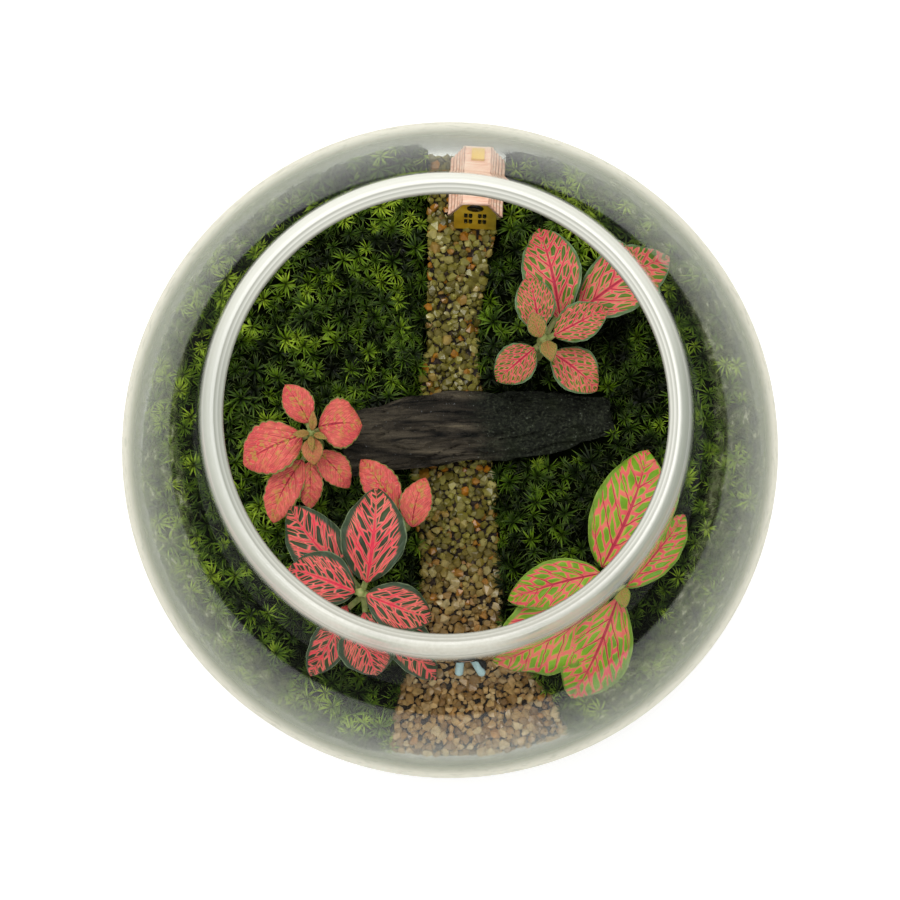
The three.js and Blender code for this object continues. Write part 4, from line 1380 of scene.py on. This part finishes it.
def make_leaf(
        name, vein, core, halo, islands, margin, cells, net, ribs, forks, edge, spots=False, flecks=0.0):
    """net, ribs and forks are the half widths of the small, side and forked veins, and edge the margin's."""
    finish = Finish(name)
    across, along, span = (finish.attribute(key) for key in ("across", "along", "span"))
    place = finish.place()
    jitter = finish.cloud(place, 330, 2) - 0.5
    side, out = abs(across), abs(span)
    sweep = along - (SWEEP_SLOPE + SWEEP_CURVE * out) * out
    count = sweep * SIDE_VEINS + jitter * 0.35
    rib = count.wave(0.5) / (1 - 0.5 * side)
    fork_on = (count - 2.4 * (out - 0.05).at_least(0)).wave(0.5)
    fork_back = (count + 2.0 * (out - 0.1).at_least(0)).wave(0.5)
    fork = fork_on.at_most(fork_back) / (1 - 0.6 * side)
    midrib = side / (1.12 - along)
    apart = finish.attribute("leaf") * 7.3 + jitter * 0.4
    spot = finish.node(
        "ShaderNodeCombineXYZ", None, {0: span * cells[0] + apart, 1: sweep * cells[1] + apart})
    wall = finish.cells(spot, 1.0, "DISTANCE_TO_EDGE", 0.8, "2D")
    if spots:
        wall = wall.at_most(0.78 - finish.cells(spot, 1.0, "F1", 0.8, "2D"))
    lines = [(wall, net), (rib, ribs), (midrib, 0.1)] + ([(fork, forks)] if forks else [])
    veins, pale = leaf_veins(lines)
    cloudy = finish.cloud(place, 150, 3)
    shade = finish.blend(cloudy.ramp(0.35, 0.65), colour(islands[0]), colour(islands[1]))
    shade = finish.blend(pale * 0.8, shade, colour(halo))
    vein_shade = finish.blend(cloudy.ramp(0.3, 0.7), colour(vein[0]), colour(vein[1]))
    shade = finish.blend(veins, shade, vein_shade)
    heart = rib.ramp(0.0, 0.06, 1.0, 0.0).at_least(midrib.ramp(0.03, 0.06, 1.0, 0.0))
    shade = finish.blend(heart * along.ramp(0.3, 1.0, 0.95, 0.4), shade, colour(core))
    if flecks:
        fleck = finish.cloud(finish.scaled(place, (1, 1, 0.5)), 900, 2).ramp(0.5, 0.6)
        shade = finish.blend(fleck * side.ramp(0.1, 0.7, flecks, 0.2 * flecks), shade, colour(0xB89840))
    inset = side + jitter * 0.12 + along.ramp(0.88, 1.0) * 0.12
    shade = finish.blend(inset.ramp(1 - edge * 1.4, 1 - edge * 0.8), shade, colour(margin[0]))
    shade = finish.blend(inset.ramp(0.95, 1.0) * 0.7, shade, colour(margin[1]))
    shade = finish.blend(finish.attribute("young") * 0.65, shade, colour(0x86903A))
    shade = finish.blend(finish.attribute("under") * 0.8, shade, colour(0x7A8458))
    relief = wall.ramp(0.0, 0.35) * 0.6 - heart * 0.8
    return finish.finish(finish.principled(
        Base_Color=shade, Roughness=0.48, Specular_IOR_Level=0.35,
        Normal=finish.bump(relief, 0.6, 0.35 * MM),
    ))


def make_stem_finish():
    finish = Finish("green stem")
    streaks = finish.cloud(finish.scaled(finish.place(), (1, 1, 0.2)), 900, 3)
    shade = finish.stops(streaks, (0.3, 0x6B7A3A), (0.55, 0x98A05C), (0.8, 0xB98A70))
    return finish.finish(finish.principled(
        Base_Color=shade, Roughness=0.5, Normal=finish.bump(streaks, 0.4, 0.3 * MM)))


print("leaf finish ready")

# %% [markdown]
# The four kinds of leaf: a pink net with green islands, coral nearly all over, dark green with coral veins,
# and lime with a pink net. Each has its slot name, and the number and depth of its teeth.

# %% Nerve plants
stem_material = make_stem_finish()
pink_net = make_leaf(
    "pink net leaf", vein=(0xD83A50, 0xE46460), core=0xAC1A3C, halo=0xD69E74,
    islands=(0x446208, 0x5A7A14), margin=(0x5E7A4C, 0x93A882),
    cells=(14, 12), net=0.1, ribs=0.13, forks=0.0, edge=0.1)
coral = make_leaf(
    "coral leaf", vein=(0xD64048, 0xE6685C), core=0x9C2038, halo=0xEA8672,
    islands=(0xC4444A, 0xD45A50), margin=(0x7A7C38, 0x9C9A5C),
    cells=(10, 12), net=0.12, ribs=0.08, forks=0.0, edge=0.06, flecks=0.7)
dark_net = make_leaf(
    "dark leaf", vein=(0xEC3E50, 0xF07066), core=0xD42C48, halo=0xBC7860,
    islands=(0x2A3820, 0x3A4A28), margin=(0x3C4C36, 0x8A9A74),
    cells=(9, 12), net=0.05, ribs=0.12, forks=0.08, edge=0.2)
lime_net = make_leaf(
    "lime leaf", vein=(0xD04450, 0xDE7462), core=0xA81C3C, halo=0xB0A83C,
    islands=(0x628C0C, 0x7AA41A), margin=(0x6E9028, 0x98B04C),
    cells=(11, 10), net=0.125, ribs=0.07, forks=0.0, edge=0.12, spots=True)
LEAF_FINISHES = {
    "plant_rear": (pink_net, "leaf_pink_net", 6, 0.02),
    "plant_left": (coral, "leaf_coral", 8, 0.07),
    "plant_sprout": (coral, "leaf_coral", 8, 0.07),
    "plant_front_left": (dark_net, "leaf_dark", 5, 0.02),
    "plant_front_right": (lime_net, "leaf_lime", 5, 0.02),
}

for name, plant in PLANTS.items():
    blade_finish, slot, teeth, depth = LEAF_FINISHES[name]
    parts = plant_parts(plant, teeth, depth)
    add_piece(
        "nerve_" + name, parts.points, parts.faces, [blade_finish, stem_material], slot, [name],
        parts.finish_of, **parts.marks)

# %% [markdown]
# ## The miniature house
#
# A painted resin house of 12 mm leans back against the glass. Its roof has a flat crown with brush marks
# across it and two slopes with wavy ribs, cream on the crests and brown in the grooves. The walls are
# mustard yellow, painted olive towards the right as shade, with a black attic opening and small black panes.
# It is built upright at the origin and then put in its place.

# %% House sizes and place
HOUSE_CENTRE = (6.3, 60.1, 60.6)
HOUSE_LEAN = 11
HOUSE_TURN = -3
HOUSE_WIDTH = 10
HOUSE_DEPTH = 13.6
WALL_HEIGHT = 8.2
RIDGE_HEIGHT = 14
ROOF_WIDTH = 12.8
ROOF_FLAT = 5.4
ROOF_OVERHANG = 0.7
ROOF_SLICES = 30
RIBS = 5


def at_house(points):
    """Moves points from the house's own foot to its place on the path."""
    lean = Matrix.Rotation(math.radians(-HOUSE_LEAN), 3, "X")
    turn = Matrix.Rotation(math.radians(HOUSE_TURN), 3, "Z") @ lean
    return [tuple(turn @ Vector(p) + Vector(HOUSE_CENTRE)) for p in points]


def roof_profile(y):
    """One slice of the roof as (x, z, groove), where groove says how deep in a groove a point is."""
    flat, half, eave = ROOF_FLAT / 2, ROOF_WIDTH / 2, WALL_HEIGHT - 0.6
    right = []
    for t in np.linspace(0, 1, 41):
        rib = abs(math.sin(math.pi * RIBS * t + 0.25 * math.sin(0.9 * y)))
        x = flat + 0.4 + t ** 1.25 * (half - flat - 0.4) + 0.3 * rib
        right.append((x, RIDGE_HEIGHT - t * (RIDGE_HEIGHT - eave) + 0.18 * rib, 1 - rib))
    crown = []
    for x in np.linspace(-flat, flat, 15):
        dip = 0.12 * (1 - (x / flat) ** 2)
        crown.append((x, RIDGE_HEIGHT - dip + 0.05 * wobble((x, y, 0), 1.2), 0.15))
    left = [(-x, z, groove) for x, z, groove in reversed(right)]
    low, high = (HOUSE_WIDTH / 2 + 0.7, eave), (flat + 0.18, RIDGE_HEIGHT - 1)
    inner = [(*low, 0.5), (*high, 0.5), (-high[0], high[1], 0.5), (-low[0], low[1], 0.5)]
    return left + crown + right + inner


print("roof slice:", len(roof_profile(0)), "points")

# %% [markdown]
# Roof paint: the crests are pale peach and cream, the grooves are brown, and the crown has brush marks
# across it. The groove depth is kept as an attribute when the roof is lofted.

# %% Roof
def make_roof_paint():
    finish = Finish("painted roof")
    place = finish.place()
    groove = finish.attribute("groove")
    strokes = finish.cloud(finish.scaled(place, (0.25, 1.6, 1)), 700, 3, 0.6, 0.5)
    paint = finish.stops(strokes, (0.3, 0xE3A98C), (0.5, 0xF0C4AC), (0.7, 0xF7DCC8))
    grooved = finish.blend(groove.ramp(0.35, 0.95) * 0.85, paint, colour(0xA2705C))
    return finish.finish(finish.principled(
        Base_Color=grooved, Roughness=0.5, Coat_Weight=0.2, Normal=finish.bump(strokes, 0.3, 0.2 * MM)))


def make_roof():
    depth = HOUSE_DEPTH / 2 + ROOF_OVERHANG
    slices = [(y, roof_profile(y)) for y in np.linspace(-depth, depth, ROOF_SLICES)]
    rows = np.array([[(x, y, z) for x, z, _ in profile] for y, profile in slices])
    groove = [depth_in_groove for _, profile in slices for _, _, depth_in_groove in profile]
    points = at_house(rows.reshape(-1, 3))
    roof = add_piece("house_roof_painted", points, loft(rows), [make_roof_paint()], None, groove=groove)
    turn_outwards(roof)
    settle(roof, "house_roof", "house_roof")


make_roof()

# %% [markdown]
# The walls keep the frame's solid, with its chimney and its cut openings; a small bevel rounds its
# corners like cast resin. Glossy black panes lie in the openings.

# %% Walls and panes
PANE_PLACES = [(x, z) for x in (-2.2, -1.1, 1.1, 2.2) for z in (3.8, 6.6)]
PANE_HALF = (0.46, 1.05)
ATTIC_HEIGHT = 10.2
ATTIC_HALF = (1.95, 1.6)
ABOVE_ROOF = 0.0838


def make_wall_paint():
    finish = Finish("painted walls")
    place = finish.place()
    blotches = finish.cloud(place, 260, 3)
    across, back, height = finish.split(place)
    shade = finish.stops(blotches, (0.3, 0xA8800E), (0.55, 0xC29A1C), (0.75, 0xD4AE34))
    # Painted shade: the right side of the walls turns olive.
    shaded_right = finish.blend(across.ramp(0.006, 0.0115) * 0.6, shade, colour(0x7A7A2A))
    lean = math.radians(HOUSE_LEAN)
    upright = height * math.cos(lean) + back * math.sin(lean)
    above_roof = upright.ramp(ABOVE_ROOF, ABOVE_ROOF + 0.0003)
    chimney = finish.blend(blotches, colour(0xD8A840), colour(0xF6D070))
    return finish.finish(finish.principled(
        Base_Color=finish.blend(above_roof, shaded_right, chimney), Roughness=0.45, Coat_Weight=0.2,
        Normal=finish.bump(blotches, 0.25, 0.3 * MM),
    ))


def make_black_gloss():
    finish = Finish("black gloss")
    dust = finish.cloud(finish.place(), 1500, 2)
    shade = finish.stops(dust, (0.4, 0x050506), (0.7, 0x15161A))
    return finish.finish(finish.principled(Base_Color=shade, Roughness=0.12, Coat_Weight=0.6))


def make_walls():
    piece = copy_of_node("house_walls", "house_walls_painted")
    bevel = piece.modifiers.new("rounded corners", "BEVEL")
    bevel.width = 0.12 * MM
    bevel.segments = 2
    bevel.limit_method = "ANGLE"
    bevel.angle_limit = math.radians(40)
    apply_modifiers(piece)
    piece.data.materials.append(make_wall_paint())
    settle(piece, "house_walls", "house_walls")


def oval(x, z, half_width, half_height, count):
    turns = np.linspace(0, 2 * math.pi, count, endpoint=False)
    return [(x + half_width * math.cos(a), z + half_height * math.sin(a)) for a in turns]


def make_panes():
    front = -HOUSE_DEPTH / 2
    outlines = [oval(x, z, *PANE_HALF, 16) for x, z in PANE_PLACES]
    outlines.append(oval(0, ATTIC_HEIGHT, *ATTIC_HALF, 32))
    parts = Parts()
    for outline in outlines:
        parts.add_rows(np.array([[(x, y, z) for x, z in outline] for y in (front - 0.03, front + 0.3)]))
    panes = add_piece("house_panes", at_house(parts.points), parts.faces, [black_gloss], None)
    turn_outwards(panes)
    settle(panes, "house_walls")


black_gloss = make_black_gloss()
make_walls()
make_panes()

# %% [markdown]
# ## The seated figure
#
# Under the front of the lip sits a painted resin doll of 10 mm, of which only the legs and a dark
# side show from above. It is a simple toy: a turned coat with a tail, a ball for a head under a
# hood, two dot eyes, bent arms, and pale blue legs stretched out on the gravel.

# %% Figure
FIGURE_FOOT = (3.6, -46)
FIGURE_BODY = [
    (0, 0), (2.3, 0), (2.6, 0.5), (2.6, 1.6), (2.2, 3.2), (1.7, 5.2), (1.45, 6.2), (0.8, 6.7), (0, 6.8),
]
HEAD_RADIUS = 2.0
HEAD_HEIGHT = 7.9
SEAT_HEIGHT = 1.4
COAT, FACE, LEGS = 0, 1, 2


def plain_paint(name, shade, roughness, gloss):
    finish = Finish(name)
    brushed = finish.cloud(finish.place(), 900, 3)
    dark = tuple(0.75 * c for c in colour(shade)[:3]) + (1.0,)
    return finish.finish(finish.principled(
        Base_Color=finish.blend(brushed.ramp(0.3, 0.7), dark, colour(shade)), Roughness=roughness,
        Coat_Weight=gloss, Normal=finish.bump(brushed, 0.15, 0.2 * MM),
    ))


def moved(points, centre):
    return [(x + centre[0], y + centre[1], z + centre[2]) for x, y, z in points]


def ball(centre, radius, rings=16, squash=1.0):
    """Points and faces of a ball. squash is its height over its width."""
    angles = np.linspace(0, math.pi, rings)
    profile = [(radius * math.sin(a), -radius * squash * math.cos(a)) for a in angles]
    points, faces = revolve(profile, 2 * rings)
    return moved(points, centre), faces


def make_figure():
    x, y = FIGURE_FOOT
    seat = gravel_top(x, y) + SEAT_HEIGHT
    parts = Parts()
    coat, faces = revolve(FIGURE_BODY, 28)
    parts.add(moved(coat, (x, y, seat)), faces, COAT)
    parts.add(*ball((x, y, seat + HEAD_HEIGHT), HEAD_RADIUS, squash=1.05), FACE)
    parts.add(*ball((x, y + 0.35, seat + HEAD_HEIGHT + 0.35), HEAD_RADIUS + 0.12), COAT)
    for side, splay in ((-1, 0.0), (1, 0.6)):
        parts.add(*ball((x + 0.7 * side, y - 1.88, seat + HEAD_HEIGHT + 0.1), 0.22, rings=8), COAT)
        hip, knee = (x + 1.1 * side, y, seat + 1.1), (x + 1.3 * side + splay, y - 2.4, seat + 1.3)
        toe = (x + 1.7 * side + 4 * splay, y - 6.1, seat + 0.9)
        route = between(hip, knee, 6) + between(knee, toe, 14)[1:]
        parts.add_rows(tube(route, [1.0] * (len(route) - 3) + [0.95, 0.75, 0.35], 16), LEGS)
        shoulder, elbow = (x + 1.3 * side, y, seat + 5.8), (x + 2.5 * side, y - 0.6, seat + 3.4)
        hand = (x + 1.2 * side, y - 2.0, seat + 2.8)
        sleeve = between(shoulder, elbow, 6) + between(elbow, hand, 6)[1:]
        parts.add_rows(tube(sleeve, [0.55] + [0.7] * 11 + [0.5], 12), COAT)
    tail = between((x + 2.0, y - 0.4, seat + 1.6), (x + 4.6, y - 4.4, seat + 1.2), 10)
    parts.add_rows(tube(tail, [0.9] * 9 + [0.7, 0.3], 12), COAT)
    paints = [
        black_gloss,
        plain_paint("doll face", 0xD8A98C, 0.45, 0.2),
        plain_paint("pale blue paint", 0xAFCBD0, 0.3, 0.5),
    ]
    add_piece(
        "seated_figure", parts.points, parts.faces, paints, "figure", ["figure"], parts.finish_of)


make_figure()

# %% [markdown]
# ## Light and camera
#
# The photograph was taken from almost straight above, on white, in soft light from all sides. A
# plain pale floor, a bright even sky and one large soft lamp give that. What the glass mirrors
# tells more: close to the lip it mirrors things far away and stays dark, and from a sharp ring
# outwards it mirrors a white sheet that reaches about 40 cm from the bowl, and further behind it.
# So for mirrored rays the floor is bright only that far, and the sky dimmer.

# %% Floor and light
SHEET_REACH = 0.4
BEHIND = 0.6
FLOOR_HALF = 2
LAMP_PLACE = (-0.1, 0.2, 0.9)
LAMP_TARGET = (0, 0, 0.06)


def mirrored(tree):
    """1 for a ray that glass or a wet surface has mirrored on its way, else 0."""
    return tree.node("ShaderNodeLightPath").out("Glossy Depth").at_most(1.0)


def make_floor():
    finish = Finish("pale floor")
    place = finish.place()
    shade = finish.blend(finish.cloud(place, 8, 2), colour(0xFBFBFA), colour(0xFFFFFF))
    bright = finish.principled(
        Base_Color=shade, Roughness=0.9, Emission_Color=(1, 1, 1, 1), Emission_Strength=0.3)
    dim = finish.principled(Base_Color=colour(0x5A5A58), Roughness=0.9)
    across, back, _ = finish.split(place)
    along = back.at_most(BEHIND * back)
    from_bowl = (across * across + along * along) ** 0.5
    far_mirrored = mirrored(finish) * from_bowl.ramp(SHEET_REACH, SHEET_REACH + 0.05)
    mesh = bpy.data.meshes.new("floor")
    corners = [(FLOOR_HALF * x, FLOOR_HALF * y, 0) for x, y in ((-1, -1), (1, -1), (1, 1), (-1, 1))]
    mesh.from_pydata(corners, [], [(0, 1, 2, 3)])
    mesh.materials.append(finish.finish(finish.mix(far_mirrored, bright, dim)))
    floor = new_object("floor", mesh)


def make_light():
    world = bpy.data.worlds.new("bright room")
    world.use_nodes = True
    background = world.node_tree.nodes["Background"]
    background.inputs["Color"].default_value = (1.0, 1.0, 0.985, 1)
    strength = 0.85 - 0.5 * mirrored(Tree(world.node_tree))
    world.node_tree.links.new(strength.socket, background.inputs["Strength"])
    scene.world = world
    lamp = bpy.data.lights.new("soft lamp", "AREA")
    lamp.energy = 3
    lamp.size = 0.5
    holder = new_object("soft lamp", lamp)
    holder.location = LAMP_PLACE
    aim = Vector(LAMP_TARGET) - holder.location
    holder.rotation_euler = aim.to_track_quat("-Z", "Y").to_euler()


make_floor()
make_light()
scene.cycles.max_bounces = 24
scene.cycles.transmission_bounces = 24
scene.cycles.transparent_max_bounces = 16
scene.view_settings.view_transform = "Standard"
print("lamp:", bpy.data.lights["soft lamp"].energy, "W, with the floor and the sky")

# %% [markdown]
# The camera looks down from the front at about 83 degrees. Its distance and lens follow from the
# size of the bowl's outline and of its lip in the picture: the lip is nearer, so it shows larger.

# %% Camera
CAMERA_TARGET = Vector((0, 0, 62)) * MM
CAMERA_DISTANCE = 0.33
CAMERA_BACK = Vector((0.015, -0.1337, 0.9909))
FOCAL_PIXELS = 1406
PICTURE_PIXELS = 900

camera_data = bpy.data.cameras.new("camera")
camera_data.sensor_width = 36
camera_data.lens = camera_data.sensor_width * FOCAL_PIXELS / PICTURE_PIXELS
camera_data.clip_start = 0.01
camera = new_object("camera", camera_data)
back = CAMERA_BACK.normalized()
right = Vector((0, 1, 0)).cross(back).normalized()
turn = Matrix((right, back.cross(right), back)).transposed().to_4x4()
camera.matrix_world = Matrix.Translation(CAMERA_TARGET + back * CAMERA_DISTANCE) @ turn
scene.camera = camera
print("lens:", round(camera_data.lens, 1), "mm")
